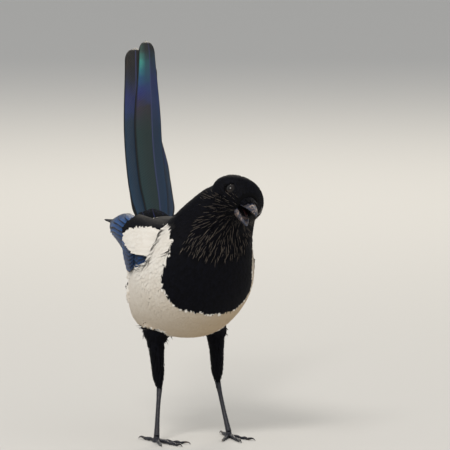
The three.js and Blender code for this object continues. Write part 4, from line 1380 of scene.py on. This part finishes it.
def black_coat(name, shaft_share=0.0):
    """Black contour feathers: keratin full of pigment, grown as loose soft barbs. They swallow light, so
    the coat is matt, each feather is a little lighter at its fringe, and the barbs show as fine lines,
    drawn at 1 mm where the real ones stand 0.3 mm apart. A share of them have pale shafts, painted
    brighter than they are as a glint on them."""
    material, tree, surface = new_finish(name, Roughness=0.6, Specular_IOR_Level=0.06)
    light = tint("black_fringe")
    across, along = feather_map(tree)
    tone = add(tree, "ShaderNodeAttribute", attribute_name="tone").outputs["Fac"]
    base = add(tree, "ShaderNodeMix", {0: tone, 6: tint("black"), 7: light}, data_type="RGBA").outputs[2]
    ridges, out = barb_ridges(tree, across, along, 14, 0.6)
    stops = [(0.2, BLACK), (0.9, (0.3, 0.3, 0.3, 1)), (1.0, WHITE)]
    fringe = add(tree, "ShaderNodeValToRGB", {"Fac": along}, stops=stops).outputs["Color"]
    rim = add(tree, "ShaderNodeMix", {0: fringe, 6: base, 7: light}, data_type="RGBA").outputs[2]
    stops = [(0.0, WHITE), (0.3, WHITE), (0.5, BLACK)]
    # The shaft line of a share of the feathers: a pale shaft, painted brighter as a glint on it
    line = add(tree, "ShaderNodeValToRGB", {"Fac": out}, stops=stops).outputs["Color"]
    some = add(tree, "ShaderNodeMath", {0: tone, 1: 1 - shaft_share}, operation="GREATER_THAN").outputs[0]
    seen = add(tree, "ShaderNodeMath", {0: line, 1: some}, operation="MULTIPLY").outputs[0]
    colours = {0: seen, 6: rim, 7: tint("throat_shaft")}
    own = add(tree, "ShaderNodeMix", colours, data_type="RGBA").outputs[2]
    finish_surface(tree, surface, beyond_edge(tree, own, tint("white")), ridges, 0.15)
    return material


def white_coat(name):
    """White contour feathers: no pigment, and air between the barbs makes them white, with a faint silky
    sheen. Towards the lower belly and the bird's left they take a painted shade, tinted as by light
    bounced from the ground, and the barbs show as fine lines."""
    shader = {"Roughness": 0.8, "Specular_IOR_Level": 0.2, "Sheen_Weight": 0.1, "Sheen_Roughness": 0.5}
    material, tree, surface = new_finish(name, **shader)
    # The painted shade's colour: white darkened and tinted as by light bounced from the ground
    painted_shade_colour = tint("warm_belly")
    ridges, _ = barb_ridges(tree, *feather_map(tree), 10, 0.8)
    place = add(tree, "ShaderNodeTexCoord").outputs["Object"]
    spot = add(tree, "ShaderNodeSeparateXYZ", {"Vector": place})
    # Height over the ground in metres, less a part of the distance to the bird's left: the lower it is, the
    # more painted shade, from none at 0.175 m to full at 0.08 m
    turned = add(tree, "ShaderNodeMath", {0: spot.outputs["X"], 1: 0.55}, operation="MULTIPLY").outputs[0]
    level = add(tree, "ShaderNodeMath", {0: spot.outputs["Z"], 1: turned}, operation="SUBTRACT").outputs[0]
    share = add(tree, "ShaderNodeMapRange", {0: level, 1: 0.08, 2: 0.175, 3: 1.0, 4: 0.0}).outputs[0]
    cloud = add(tree, "ShaderNodeTexNoise", {"Vector": place, "Scale": 60.0, "Detail": 2.0}).outputs["Fac"]
    uneven = add(tree, "ShaderNodeMath", {0: cloud, 1: 0.5}, operation="SUBTRACT").outputs[0]
    near = add(tree, "ShaderNodeMath", {0: uneven, 1: 0.12}, operation="MULTIPLY").outputs[0]
    painted_shade_share = add(tree, "ShaderNodeMath", {0: share, 1: near}, operation="ADD", use_clamp=True).outputs[0]
    colours = {0: painted_shade_share, 6: tint("white"), 7: painted_shade_colour}
    base = add(tree, "ShaderNodeMix", colours, data_type="RGBA").outputs[2]
    tone = add(tree, "ShaderNodeAttribute", attribute_name="tone").outputs["Fac"]
    soft = add(tree, "ShaderNodeMath", {0: tone, 1: 0.14}, operation="MULTIPLY").outputs[0]
    own = add(tree, "ShaderNodeMix", {0: soft, 6: base, 7: painted_shade_colour}, data_type="RGBA").outputs[2]
    finish_surface(tree, surface, beyond_edge(tree, own, tint("black")), ridges, 0.12)
    return material


def quill_feathers(name, first, second, barbs, **shader):
    """Flight and tail feathers: flat barbules over a thin dark layer give a metallic blue and green.
    first and second are colours along the feather for its two vanes, as (place, edge, shaft side). The
    barbs show as fine ridges that slant off a dark glossy shaft."""
    material, tree, surface = new_finish(name, **shader)
    across, along = feather_map(tree)
    ridges, out = barb_ridges(tree, across, along, barbs, 0.1)
    place = add(tree, "ShaderNodeTexCoord").outputs["Object"]
    cloud = add(tree, "ShaderNodeTexNoise", {"Vector": place, "Scale": 160.0, "Detail": 4.0}).outputs["Fac"]
    shift = add(tree, "ShaderNodeMath", {0: cloud, 1: 0.5}, operation="SUBTRACT").outputs[0]
    stir = add(tree, "ShaderNodeMath", {0: shift, 1: 0.09}, operation="MULTIPLY").outputs[0]
    where = add(tree, "ShaderNodeMath", {0: along, 1: stir}, operation="ADD").outputs[0]
    to_rim = add(tree, "ShaderNodeMapRange", {0: out, 1: 0.2, 2: 0.42}).outputs[0]
    sides = []
    for rows in (first, second):
        edge, centre = (
            add(
                tree,
                "ShaderNodeValToRGB",
                {"Fac": where},
                stops=[(row[0], linear(row[column])) for row in rows],
            ).outputs["Color"]
            for column in (1, 2)
        )
        sides.append(add(tree, "ShaderNodeMix", {0: to_rim, 6: centre, 7: edge}, data_type="RGBA").outputs[2])
    half = add(tree, "ShaderNodeMath", {0: across, 1: 0.5}, operation="GREATER_THAN").outputs[0]
    vanes = add(tree, "ShaderNodeMix", {0: half, 6: sides[0], 7: sides[1]}, data_type="RGBA").outputs[2]
    # A dark line along each feather's rim: painted shade where the feathers overlap
    stops = [(0.0, BLACK), (0.44, BLACK), (0.475, WHITE)]
    lines = add(tree, "ShaderNodeValToRGB", {"Fac": out}, stops=stops).outputs["Color"]
    rim_shade_painted = add(tree, "ShaderNodeMix", {0: lines, 6: vanes, 7: tint("rim")}, data_type="RGBA").outputs[2]
    on_shaft = add(tree, "ShaderNodeMath", {0: out, 1: 0.02}, operation="LESS_THAN").outputs[0]
    colours = {0: on_shaft, 6: rim_shade_painted, 7: tint("quill")}
    colour = add(tree, "ShaderNodeMix", colours, data_type="RGBA").outputs[2]
    finish_surface(tree, surface, colour, ridges, 0.25)
    return material


def horn(name, dark, light, scuff, worn_share, roughness):
    """Horn sheath of bill, scales and claws: grown keratin, worn smooth and a little glossy, with pale
    scuffs about 1.5 mm long where it is used."""
    shader = {"IOR": 1.55, "Specular_IOR_Level": 0.35, "Coat_Weight": 0.1, "Coat_Roughness": 0.2}
    material, tree, surface = new_finish(name, Roughness=roughness, **shader)
    place = add(tree, "ShaderNodeTexCoord").outputs["Object"]
    broad = add(tree, "ShaderNodeTexNoise", {"Vector": place, "Scale": 260.0, "Detail": 3.0}).outputs["Fac"]
    fine = add(tree, "ShaderNodeTexNoise", {"Vector": place, "Scale": 420.0, "Detail": 5.0}).outputs["Fac"]
    body = add(tree, "ShaderNodeMix", {0: broad, 6: dark, 7: light}, data_type="RGBA").outputs[2]
    stops = [(0.5, BLACK), (0.66, (worn_share, worn_share, worn_share, 1.0))]
    worn = add(tree, "ShaderNodeValToRGB", {"Fac": fine}, stops=stops).outputs["Color"]
    colour = add(tree, "ShaderNodeMix", {0: worn, 6: body, 7: scuff}, data_type="RGBA").outputs[2]
    finish_surface(tree, surface, colour, fine, 0.35, 0.0003)
    return material


def wet_eye():
    """The living eye: a wet clear front, as smooth as glass, over a black pupil and a dark brown iris."""
    shader = {"Roughness": 0.05, "IOR": 1.38, "Specular_IOR_Level": 0.25}
    material, tree, surface = new_finish("wet_eye", Coat_Weight=0.45, Coat_Roughness=0.02, **shader)
    from_middle, _ = feather_map(tree)
    iris = tint("iris")
    stops = [(0.0, BLACK), (0.21, BLACK), (0.24, faded(iris, 0.4)), (0.36, iris), (0.43, faded(iris, 0.9))]
    rings = add(tree, "ShaderNodeValToRGB", {"Fac": from_middle}, stops=stops)
    tree.links.new(rings.outputs["Color"], surface.inputs["Base Color"])
    return material


def down_and_skin():
    """Skin with short down between the feathers: matt, and marked as the coat above it is."""
    material, tree, surface = new_finish("down_and_skin", Roughness=0.95, Specular_IOR_Level=0.1)
    tone = add(tree, "ShaderNodeAttribute", attribute_name="tone").outputs["Fac"]
    place = add(tree, "ShaderNodeTexCoord").outputs["Object"]
    cloud = add(tree, "ShaderNodeTexNoise", {"Vector": place, "Scale": 800.0, "Detail": 3.0}).outputs["Fac"]
    colours = {0: cloud, 6: faded(tint("white"), 0.2), 7: tint("warm_belly")}
    pale = add(tree, "ShaderNodeMix", colours, data_type="RGBA").outputs[2]
    colours = {0: tone, 6: faded(tint("black"), 0.3), 7: pale}
    colour = add(tree, "ShaderNodeMix", colours, data_type="RGBA").outputs[2]
    tree.links.new(colour, surface.inputs["Base Color"])
    return material


def moist_flesh(name, dark, light, roughness):
    """Moist skin of mouth and tongue, or the bare wrinkled skin of a lid: a little light enters it."""
    shader = {"IOR": 1.4, "Specular_IOR_Level": 0.25, "Subsurface_Weight": 0.1, "Subsurface_Scale": 0.2}
    depths = (0.004, 0.0015, 0.001)  # how far red, green and blue travel in it
    material, tree, surface = new_finish(name, Roughness=roughness, Subsurface_Radius=depths, **shader)
    place = add(tree, "ShaderNodeTexCoord").outputs["Object"]
    cloud = add(tree, "ShaderNodeTexNoise", {"Vector": place, "Scale": 900.0, "Detail": 3.0}).outputs["Fac"]
    colour = add(tree, "ShaderNodeMix", {0: cloud, 6: dark, 7: light}, data_type="RGBA").outputs[2]
    finish_surface(tree, surface, colour, cloud, 0.3)
    return material


def matt_floor():
    """A matt painted floor, pale and without pattern."""
    shader = {"Roughness": 0.9, "Specular_IOR_Level": 0.2, "Base_Color": tint("floor")}
    return new_finish("matt_painted_floor", **shader)[0]


# What a user would change


class MagpieSizes(bpy.types.PropertyGroup):
    """Sizes of the coat and of the view."""

    skin_face: bpy.props.FloatProperty(
        name="Skin face",
        description="Size of the skin's faces",
        default=0.0014,
        min=0.0005,
        precision=4,
        unit="LENGTH",
    )
    closeness: bpy.props.FloatProperty(
        name="Closeness",
        description="How close the small feathers stand",
        default=1.0,
        min=0.2,
        subtype="FACTOR",
    )
    head_feather: bpy.props.FloatProperty(
        name="Head feather",
        description="Length behind the face",
        default=0.0085,
        precision=4,
        unit="LENGTH",
    )
    throat_feather: bpy.props.FloatProperty(
        name="Throat feather",
        description="Length of the hackles",
        default=0.013,
        precision=4,
        unit="LENGTH",
    )
    body_feather: bpy.props.FloatProperty(
        name="Body feather",
        description="Length on back and breast",
        default=0.015,
        precision=4,
        unit="LENGTH",
    )
    belly_feather: bpy.props.FloatProperty(
        name="Belly feather",
        description="Length on belly and flanks",
        default=0.017,
        precision=4,
        unit="LENGTH",
    )
    view_distance: bpy.props.FloatProperty(
        name="Camera distance", description="From the middle of the view", default=6.0, unit="LENGTH"
    )
    view_width: bpy.props.FloatProperty(
        name="View width", description="What the picture spans at the bird", default=0.369, unit="LENGTH"
    )
    azimuth: bpy.props.FloatProperty(
        name="Azimuth",
        description="Camera's turn round the bird",
        default=math.radians(-22),
        subtype="ANGLE",
    )
    elevation: bpy.props.FloatProperty(
        name="Elevation", description="Camera's height angle", default=math.radians(6), subtype="ANGLE"
    )


# The colours in sRGB, and what each is for
COLOURS = {
    "black": ("#060608", "Body black"),
    "black_fringe": ("#0c0d14", "Fringe of the black feathers"),
    "white": ("#e6e2da", "Unstained white"),
    # Painted shade on the lower belly, tinted as by light from the ground; the skin also takes it as a random
    # tone
    "warm_belly": ("#ad9674", "White warmed on the belly"),
    # Pale throat shafts, painted brighter as a glint
    "throat_shaft": ("#6a625a", "Shafts of the throat hackles"),
    "quill": ("#2a3158", "Shafts of the flight feathers"),
    # A painted shade line along the rims of flight, tail and covert feathers, where they overlap
    "rim": ("#04060a", "Rims of the flight feathers"),
    "horn": ("#12141c", "Bill"),
    "horn_light": ("#2c3348", "Paler parts of the bill"),
    "scuff": ("#a08a78", "Worn horn"),
    "scales": ("#0a0c14", "Shanks and toes"),
    "iris": ("#160b06", "Iris"),
    "mouth": ("#241012", "Mouth and tongue"),
    "floor": ("#c9c8c5", "Floor"),
}


class MagpieColours(bpy.types.PropertyGroup):
    """Colours of plumage, bare parts and floor."""

    __annotations__ = {
        name: bpy.props.FloatVectorProperty(
            name=words,
            description=f"{words}, linear",
            default=linear(code)[:3],
            subtype="COLOR",
            min=0,
            max=1,
        )
        for name, (code, words) in COLOURS.items()
    }


# Pieces

# What several operators need is worked out once and kept.
KEPT = {}


def body_coat():
    """The body's skin as a coat surface: drawn in from the outline by the coat's depth, under the wings
    and behind the eyes."""
    if "body" not in KEPT:
        points, faces = whole_body(bpy.context.scene.magpie_sizes.skin_face / MM)
        points = relax(points, faces, 4)
        points = points - point_normals(points, faces) * coat_depth(points)[:, None]
        KEPT["wings"] = [WingFootprint(side) for side in (-1, 1)]
        points = clear_of_eyes(press_under_wings(points, KEPT["wings"]))
        KEPT["body"] = Coat(points, faces, relax(whiteness(points)[:, None], faces, 5)[:, 0])
    return KEPT["body"]


def build_skin():
    """The skin as one closed piece, dark and pale as the coat over it."""
    coat = body_coat()
    middles = np.repeat(coat.points[coat.faces].mean(1), 3, axis=0)
    make_piece(
        "skin",
        down_and_skin(),
        "black_plumage",
        coat.points,
        [coat.faces],
        replaced=("torso", "neck", "head", "thigh_right", "thigh_left"),
        tone=coat.pale,
        bake=unwrap_of(coat.points[coat.faces.ravel()], middles),
    )


# Colours along a feather, as (place, outer edge, beside the shaft). The wing's blue is deep on the vane
# that is tucked away and brighter on the one that shows.
BLUE_TUCKED = [(0.0, "#0a1c30", "#0a1c30"), (1.0, "#12304e", "#0c2238")]
BLUE_SHOWN = [
    (0.0, "#0c274c", "#0e2c4e"),
    (0.55, "#123a6c", "#0e2b50"),
    (0.85, "#1d4e88", "#143a66"),
    (1.0, "#12325a", "#102a46"),
]
PRIMARY_BLACK = [(0.0, "#07080b", "#060709"), (1.0, "#0a0e14", "#07090c")]
COVERT_BLACK = [(0.0, "#060709", "#060709"), (1.0, "#0a1018", "#080b10")]
# Barbs drawn along a feather, fewer than there are so that they show
WING_BARBS, TAIL_BARBS, COVERT_BARBS, SMALL_BARBS = 90, 110, 20, 12


def blue_quills(name, barbs):
    """Blue flight feathers and coverts: a dull metallic gloss."""
    shader = {"Roughness": 0.45, "Metallic": 0.25, "Specular_IOR_Level": 0.3}
    return quill_feathers(name, BLUE_TUCKED, BLUE_SHOWN, barbs, **shader)


def black_quills(name, colours, barbs, roughness, gloss):
    """Black stiff feathers, both vanes alike, with next to no gloss."""
    return quill_feathers(name, colours, colours, barbs, Roughness=roughness, Specular_IOR_Level=gloss)


def build_wings():
    """The long feathers of both wings, blue and black, with the greater coverts over their roots."""
    blue = blue_quills("structural_blue_feathers", WING_BARBS)
    black = black_quills("black_primary_feathers", PRIMARY_BLACK, WING_BARBS, 0.6, 0.15)
    for side, name in SIDES:
        blues = gather(flight_feathers(side, False) + greater_coverts(side))
        make_piece(f"secondaries_{name}", blue, "wing_feathers", replaced=(f"wing_{name}",), **blues)
        blacks = gather(flight_feathers(side, True))
        make_piece(f"primaries_{name}", black, "wing_feathers", **blacks)


# The tail's colours: the left feathers' vane on the bird's right, dark green low down and bronze at the
# tip, with a painted cyan-green highlight along its outer edge towards the tip, then their other vane,
# then both vanes of the right feathers.
TAIL_RIGHT_WITH_PAINTED_HIGHLIGHT = [
    (0.0, "#0b2a30", "#0a2326"),
    (0.5, "#0a2829", "#082121"),
    (0.62, "#262030", "#1c1c24"),
    (0.71, "#182262", "#17285c"),
    # From 0.8 to 0.94 the bright cyan-green of the outer edge is a painted highlight
    (0.8, "#17506e", "#133c54"),
    (0.87, "#348a80", "#16434c"),
    (0.94, "#34504a", "#141c20"),
    (1.0, "#141110", "#0c0b0b"),
]
TAIL_LEFT = [
    (0.0, "#0b2a46", "#0b273e"),
    (0.5, "#0a273e", "#092238"),
    (0.66, "#152852", "#14244a"),
    (0.78, "#1a2450", "#16204a"),
    (0.9, "#122c3e", "#102634"),
    (0.96, "#141416", "#121213"),
    (1.0, "#0e0d0d", "#0b0a0a"),
]
TAIL_OUTER = [
    (0.0, "#0a2e46", "#09263a"),
    (0.56, "#09283e", "#082236"),
    (0.62, "#142a56", "#12244e"),
    (0.71, "#182258", "#141e4c"),
    (0.8, "#101c34", "#0e1628"),
    (0.9, "#1c1512", "#0c0c10"),
    (1.0, "#0e0d0d", "#0b0a0a"),
]


def build_tail():
    """Six feathers on each side of the tail, the topmost last, then the short coverts at its root."""
    gloss = {"Roughness": 0.4, "Metallic": 0.3, "Specular_IOR_Level": 0.3}
    green = quill_feathers("structural_green_feathers", TAIL_RIGHT_WITH_PAINTED_HIGHLIGHT, TAIL_LEFT, TAIL_BARBS, **gloss)
    deep = quill_feathers("structural_blue_green_feathers", TAIL_OUTER, TAIL_OUTER, TAIL_BARBS, **gloss)
    for (side, name), finish, node in zip(SIDES, (deep, green), (("tail",), ())):
        feathers = gather([tail_feather(pair, side) for pair in reversed(range(len(TAIL_SHARES)))])
        make_piece(f"tail_feathers_{name}", finish, "tail_feathers", replaced=node, **feathers)
    black = black_quills("black_covert_feathers", COVERT_BLACK, COVERT_BARBS, 0.7, 0.1)
    coverts = [
        tail_covert(where, above, row)
        for above in (True, False)
        for row in (0, 1, 2)
        for where in np.linspace(-1, 1, 5 - row % 2)
    ]
    make_piece("tail_coverts", black, "black_plumage", **gather(coverts))


def build_shoulders():
    """The blue median coverts, the white shoulder patch and the black band above it, on each wing."""
    rng = np.random.default_rng(SEED + 1)
    white, black = white_coat("white_scapular_feathers"), black_coat("black_mantle_feathers")
    blue = blue_quills("structural_blue_coverts", SMALL_BARBS)
    # Each row: finish, slot, spacing, how far down a feather runs, heights at root and tip, and where
    rows = {
        "median_coverts": (blue, "wing_feathers", 3.2, 0.06, (0.6, 3.2), in_blue_rows),
        "scapulars": (white, "white_plumage", 1.7, 0.1, (2.4, 6.4), in_white_patch),
        "mantle_band": (black, "black_plumage", 2.0, 0.03, (3.0, 7.2), in_black_band),
    }
    for side, name in SIDES:
        for kind, (material, slot, spacing, drift, heights, keep) in rows.items():
            line, up, unwrap = wing_lines(side, rng, spacing, drift, heights, keep)
            size = np.ones(len(line))
            made = lay_plumes("shoulder", line, up, size, rng, unwrap, roll=0.01, uneven=0.08)
            make_piece(f"{kind}_{name}", material, slot, **made)


def bare(p):
    """Where no feather roots: round the eyes, under the wings, on the bill and in the mouth."""
    local = to_head(p)
    ahead, aside, up = local.T
    found = ahead > BILL_ROOT - 1.5
    for side in (-1, 1):
        found |= np.linalg.norm(local - eye_place(side), axis=1) < EYE_RADIUS + 0.5
    for footprint in KEPT["wings"]:
        height, _, shade = footprint.over(p)
        found |= (np.abs(height[:, 0]) < 4) & (shade > 0.6)
    corner, level = GAPE
    drop = np.tan(GAPE_OPEN) * (ahead - corner)
    open_mouth = (up < level + 0.4) & (up > level - drop - 0.4)
    return found | ((ahead > corner) & open_mouth & (np.abs(aside) < 7))


def on_throat(p):
    """Where the narrow hackles grow: below the bill and down the front of the neck."""
    local = to_head(p)
    along, angle = trunk_place(p)
    low = local[:, 2] < -6 + 0.25 * np.minimum(local[:, 0], 0)
    front = (np.abs(angle - 185) < 62) & (along > 9.15)
    return (low & (np.linalg.norm(local, axis=1) < 28)) | (front & (local[:, 2] < -2))


NECK_FROM = 9.6  # place along the trunk where the feathers of the neck and head begin


def coat_zones(sizes):
    """The zones of the coat: name, finish, slot, spacing, small feather, length, lift of its tip,
    unevenness of the lie, and where it grows. That is told from neck (on the neck or head), throat (on
    the throat), white (whiteness at the feather's tip) and leg (share on a thigh)."""
    black, white = black_coat("black_contour_feathers"), white_coat("white_contour_feathers")
    # The hackle shafts' pale colour includes a painted glint
    hackle, shafts = black_coat("black_throat_hackles"), black_coat("pale_hackle_shafts_and_painted_glint", 1.0)
    dark, pale = "black_plumage", "white_plumage"
    head, throat = sizes.head_feather, sizes.throat_feather
    body, belly = sizes.body_feather, sizes.belly_feather

    def on_head(neck, throat, white, leg):
        return neck & ~throat

    def on_front(neck, throat, white, leg):
        return throat

    def on_black_body(neck, throat, white, leg):
        return ~neck & ~throat & (white < 0.5)

    def on_white_body(neck, throat, white, leg):
        return ~neck & ~throat & (white > 0.5)

    def on_thigh_top(neck, throat, white, leg):
        return (leg > 0.08) & (leg < 0.7)

    return (
        ("head", black, dark, 1.4, "short", head, 0.1, 0.08, on_head),
        ("throat", hackle, dark, 1.6, "narrow", throat, 0.3, 0.1, on_front),
        ("shafts", shafts, dark, 3.2, "strand", throat, 1.2, 0.14, on_front),
        ("body", black, dark, 1.9, "broad", body, 0.1, 0.04, on_black_body),
        ("fringe", black, dark, 2.6, "narrow", body, 3.2, 0.5, on_thigh_top),
        ("belly", white, pale, 2.0, "silky", belly, 0.05, 0.03, on_white_body),
    )


def build_coat():
    """The small feathers of head, body and thighs, zone by zone. Where the white and the black coat
    meet, a feather that lies over the edge takes the other coat's colour."""
    coat = body_coat()
    rng = np.random.default_rng(SEED)
    sizes = bpy.context.scene.magpie_sizes
    for zone, material, slot, spacing, kind, length, lift, mess, wanted in coat_zones(sizes):
        long = length / MM

        def keep(p):
            way = lie_of(p, coat.normals[coat.nearest(p)])
            tips = p + way * (long * 0.88 * feather_size(p))[:, None]
            on_neck = trunk_place(p)[0] > NECK_FROM
            return wanted(on_neck, on_throat(p), whiteness(tips), leg_share(p)) & ~bare(p)

        points, normals = coat.roots(rng, spacing / sizes.closeness, keep)
        size = feather_size(points) * rng.uniform(0.94, 1.04, len(points))
        depth = coat_depth(points) * 0.9
        line, up = body_lines(coat, rng, points, normals, long * size, depth, lift, mess)
        unwrap = unwrap_of(points, points)
        made = lay_plumes(kind, line, up, size, rng, unwrap, roll=0.012, uneven=0.08)
        parts = list(in_parts(made, len(points)))
        for number, part in enumerate(parts, 1):
            name = f"feathers_{zone}" + (f"_{number}" if len(parts) > 1 else "")
            pale = coat.pale[coat.nearest(part["points"])]
            stray = {"belly": 1 - pale, "body": pale}.get(zone)
            make_piece(name, material, slot, stray=stray, **part)


def build_head():
    """Bill, tongue, eyes, lids, and the bristles over the root of the bill."""
    bill = horn("bill_horn", tint("horn"), tint("horn_light"), tint("scuff"), 0.85, 0.32)
    for shape, name, place in ((BILL, "bill_upper", roof_to_head), (JAW, "bill_lower", jaw_to_head)):
        points, faces = bill_half(shape)
        make_piece(f"{name}_horn", bill, "bill_horn", from_head(place(points)), faces, (name,))
    mouth = moist_flesh("moist_mouth", faded(tint("mouth"), 0.6), tint("mouth"), 0.35)
    points, faces = closed_loft(tongue_rings())
    make_piece("tongue_flesh", mouth, "mouth", from_head(jaw_to_head(points)), faces, ("tongue",))
    eye, lid = wet_eye(), moist_flesh("bare_lid_skin", faded(tint("black"), 0.5), tint("black"), 0.5)
    for side, name in SIDES:
        make_piece(f"eye_ball_{name}", eye, "eye", replaced=(f"eye_{name}",), **eye_ball(side))
        make_piece(f"eye_lid_{name}", lid, "black_plumage", *eye_lid(side))
    rng = np.random.default_rng(SEED + 2)
    line, up = bristle_lines(rng, BRISTLES)
    size = rng.uniform(0.7, 1.2, len(line))
    unwrap = np.full((len(line), 2), (0.5, 0.61))
    made = lay_plumes("bristle", line, up, size, rng, unwrap, roll=0.2, uneven=0.16)
    made["facing"] = None
    make_piece("nasal_bristles", black_coat("black_bristles"), "black_plumage", **made)


def build_legs():
    """Each leg's shank, its foot with four toes, and the four claws."""
    scales = horn("leg_scales", tint("scales"), faded(tint("horn_light"), 0.6), tint("scuff"), 0.06, 0.55)
    claw = horn("claw_horn", tint("scales"), tint("horn"), tint("scuff"), 0.3, 0.3)
    for name, leg in LEGS.items():
        shank = closed_loft(shank_rings(leg))
        make_piece(f"shank_scutes_{name}", scales, "leg_scales", *shank, (f"shank_{name}",))
        parts = [foot_hub(leg), *(toe_rings(leg, toe) for toe in TOES)]
        toes = join_parts([outward(*closed_loft(part)) for part in parts])
        make_piece(f"toes_{name}", scales, "leg_scales", *toes, (f"foot_{name}",))
        for toe in TOES:
            node = f"claw_{name}_{toe['name']}"
            make_piece(f"{node}_horn", claw, "claws", *closed_loft(claw_rings(leg, toe)), (node,))


# Stage

# Lamps: place, power, size and colour. The key stands high on the bird's right, the bounce low on its
# left, and the rim behind it.
LAMPS = {
    "key": ((-1.5, -1.7, 2.4), 52, 0.9, "#fffaf4"),
    "bounce": ((2.0, -1.6, 0.5), 8, 1.6, "#ffecd2"),
    "rim": ((1.0, 2.2, 1.9), 34, 0.9, "#fff6e6"),
}
VIEW_MIDDLE = Vector((23.54, -71.52, 175.3)) * MM
FLOOR_REACH = 14.0  # metres from the middle to each edge
ROOM_COLOUR, ROOM_LIGHT = "#e4e5e6", 0.75
SENSOR = 36  # millimetres


def build_stage():
    """Floor, camera, room light and lamps. The camera looks at the middle of the view from the azimuth
    and the elevation, and its lens follows from the distance and the width of the view."""
    scene = bpy.context.scene
    sizes = scene.magpie_sizes
    mesh = bpy.data.meshes.new("floor")
    corners = [(x * FLOOR_REACH, y * FLOOR_REACH, 0) for x, y in ((-1, -1), (1, -1), (1, 1), (-1, 1))]
    mesh.from_pydata(corners, [], [(0, 1, 2, 3)])
    mesh.materials.append(matt_floor())
    floor = bpy.data.objects.new("floor", mesh)
    scene.collection.objects.link(floor)
    floor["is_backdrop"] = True
    a, e = sizes.azimuth, sizes.elevation
    back = Vector((math.sin(a) * math.cos(e), -math.cos(a) * math.cos(e), math.sin(e)))
    camera = bpy.data.objects.new("camera", bpy.data.cameras.new("camera"))
    camera.location = VIEW_MIDDLE + back * sizes.view_distance
    camera.rotation_euler = (-back).to_track_quat("-Z", "Y").to_euler()
    camera.data.sensor_width = SENSOR
    camera.data.lens = SENSOR * sizes.view_distance / sizes.view_width
    camera.data.clip_end = 100
    scene.collection.objects.link(camera)
    scene.camera = camera
    scene.view_settings.view_transform = "Standard"
    world = bpy.data.worlds.new("soft_room")
    world.use_nodes = True
    room = world.node_tree.nodes["Background"].inputs
    room["Color"].default_value, room["Strength"].default_value = linear(ROOM_COLOUR), ROOM_LIGHT
    scene.world = world
    for name, (place, power, size, colour) in LAMPS.items():
        light = bpy.data.lights.new(name, "AREA")
        light.energy, light.size, light.color = power, size, linear(colour)[:3]
        lamp = bpy.data.objects.new(name, light)
        lamp.location = place
        lamp.rotation_euler = (VIEW_MIDDLE - Vector(place)).to_track_quat("-Z", "Y").to_euler()
        scene.collection.objects.link(lamp)


# Operators and panel


class MAGPIE_OT_stage(bpy.types.Operator):
    """Adds the floor, the lights and the camera"""

    bl_idname = "magpie.stage"
    bl_label = "Stage"

    def execute(self, context):
        build_stage()
        return {"FINISHED"}


class MAGPIE_OT_skin(bpy.types.Operator):
    """Adds the skin under the feathers"""

    bl_idname = "magpie.skin"
    bl_label = "Skin"

    def execute(self, context):
        build_skin()
        return {"FINISHED"}


class MAGPIE_OT_tail(bpy.types.Operator):
    """Adds the tail feathers and their coverts"""

    bl_idname = "magpie.tail"
    bl_label = "Tail"

    def execute(self, context):
        build_tail()
        return {"FINISHED"}


class MAGPIE_OT_wings(bpy.types.Operator):
    """Adds the flight feathers and the greater coverts"""

    bl_idname = "magpie.wings"
    bl_label = "Wings"

    def execute(self, context):
        build_wings()
        return {"FINISHED"}


class MAGPIE_OT_shoulders(bpy.types.Operator):
    """Adds the small feathers over the folded wings"""

    bl_idname = "magpie.shoulders"
    bl_label = "Shoulders"

    def execute(self, context):
        build_shoulders()
        return {"FINISHED"}


class MAGPIE_OT_head(bpy.types.Operator):
    """Adds bill, tongue, eyes, lids and nasal bristles"""

    bl_idname = "magpie.head"
    bl_label = "Head"

    def execute(self, context):
        build_head()
        return {"FINISHED"}


class MAGPIE_OT_legs(bpy.types.Operator):
    """Adds shanks, toes and claws"""

    bl_idname = "magpie.legs"
    bl_label = "Legs"

    def execute(self, context):
        build_legs()
        return {"FINISHED"}


class MAGPIE_OT_coat(bpy.types.Operator):
    """Adds the small feathers of head, neck, body and thighs"""

    bl_idname = "magpie.coat"
    bl_label = "Coat"

    def execute(self, context):
        build_coat()
        return {"FINISHED"}


OPERATORS = [
    MAGPIE_OT_stage,
    MAGPIE_OT_skin,
    MAGPIE_OT_tail,
    MAGPIE_OT_wings,
    MAGPIE_OT_shoulders,
    MAGPIE_OT_head,
    MAGPIE_OT_legs,
    MAGPIE_OT_coat,
]


class MAGPIE_PT_pieces(bpy.types.Panel):
    """Lists the sizes, the colours and the pieces of the magpie"""

    bl_idname = "MAGPIE_PT_pieces"
    bl_label = "Magpie"
    bl_space_type = "VIEW_3D"
    bl_region_type = "UI"
    bl_category = "Magpie"

    def draw(self, context):
        for group in (context.scene.magpie_sizes, context.scene.magpie_colours):
            for name in type(group).__annotations__:
                self.layout.prop(group, name)
        for kind in OPERATORS:
            self.layout.operator(kind.bl_idname)


CLASSES = [MagpieSizes, MagpieColours, *OPERATORS, MAGPIE_PT_pieces]


def register():
    for kind in CLASSES:
        bpy.utils.register_class(kind)
    bpy.types.Scene.magpie_sizes = bpy.props.PointerProperty(type=MagpieSizes)
    bpy.types.Scene.magpie_colours = bpy.props.PointerProperty(type=MagpieColours)


def unregister():
    del bpy.types.Scene.magpie_colours
    del bpy.types.Scene.magpie_sizes
    for kind in reversed(CLASSES):
        bpy.utils.unregister_class(kind)


def main():
    register()
    for kind in OPERATORS:
        group, name = kind.bl_idname.split(".")
        getattr(getattr(bpy.ops, group), name)()
    boxes = {"cad": cad_box, "visual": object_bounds()}
    {name: [list(map(float, corner)) for corner in box] for name, box in boxes.items()}


if __name__ == "__main__":
    main()
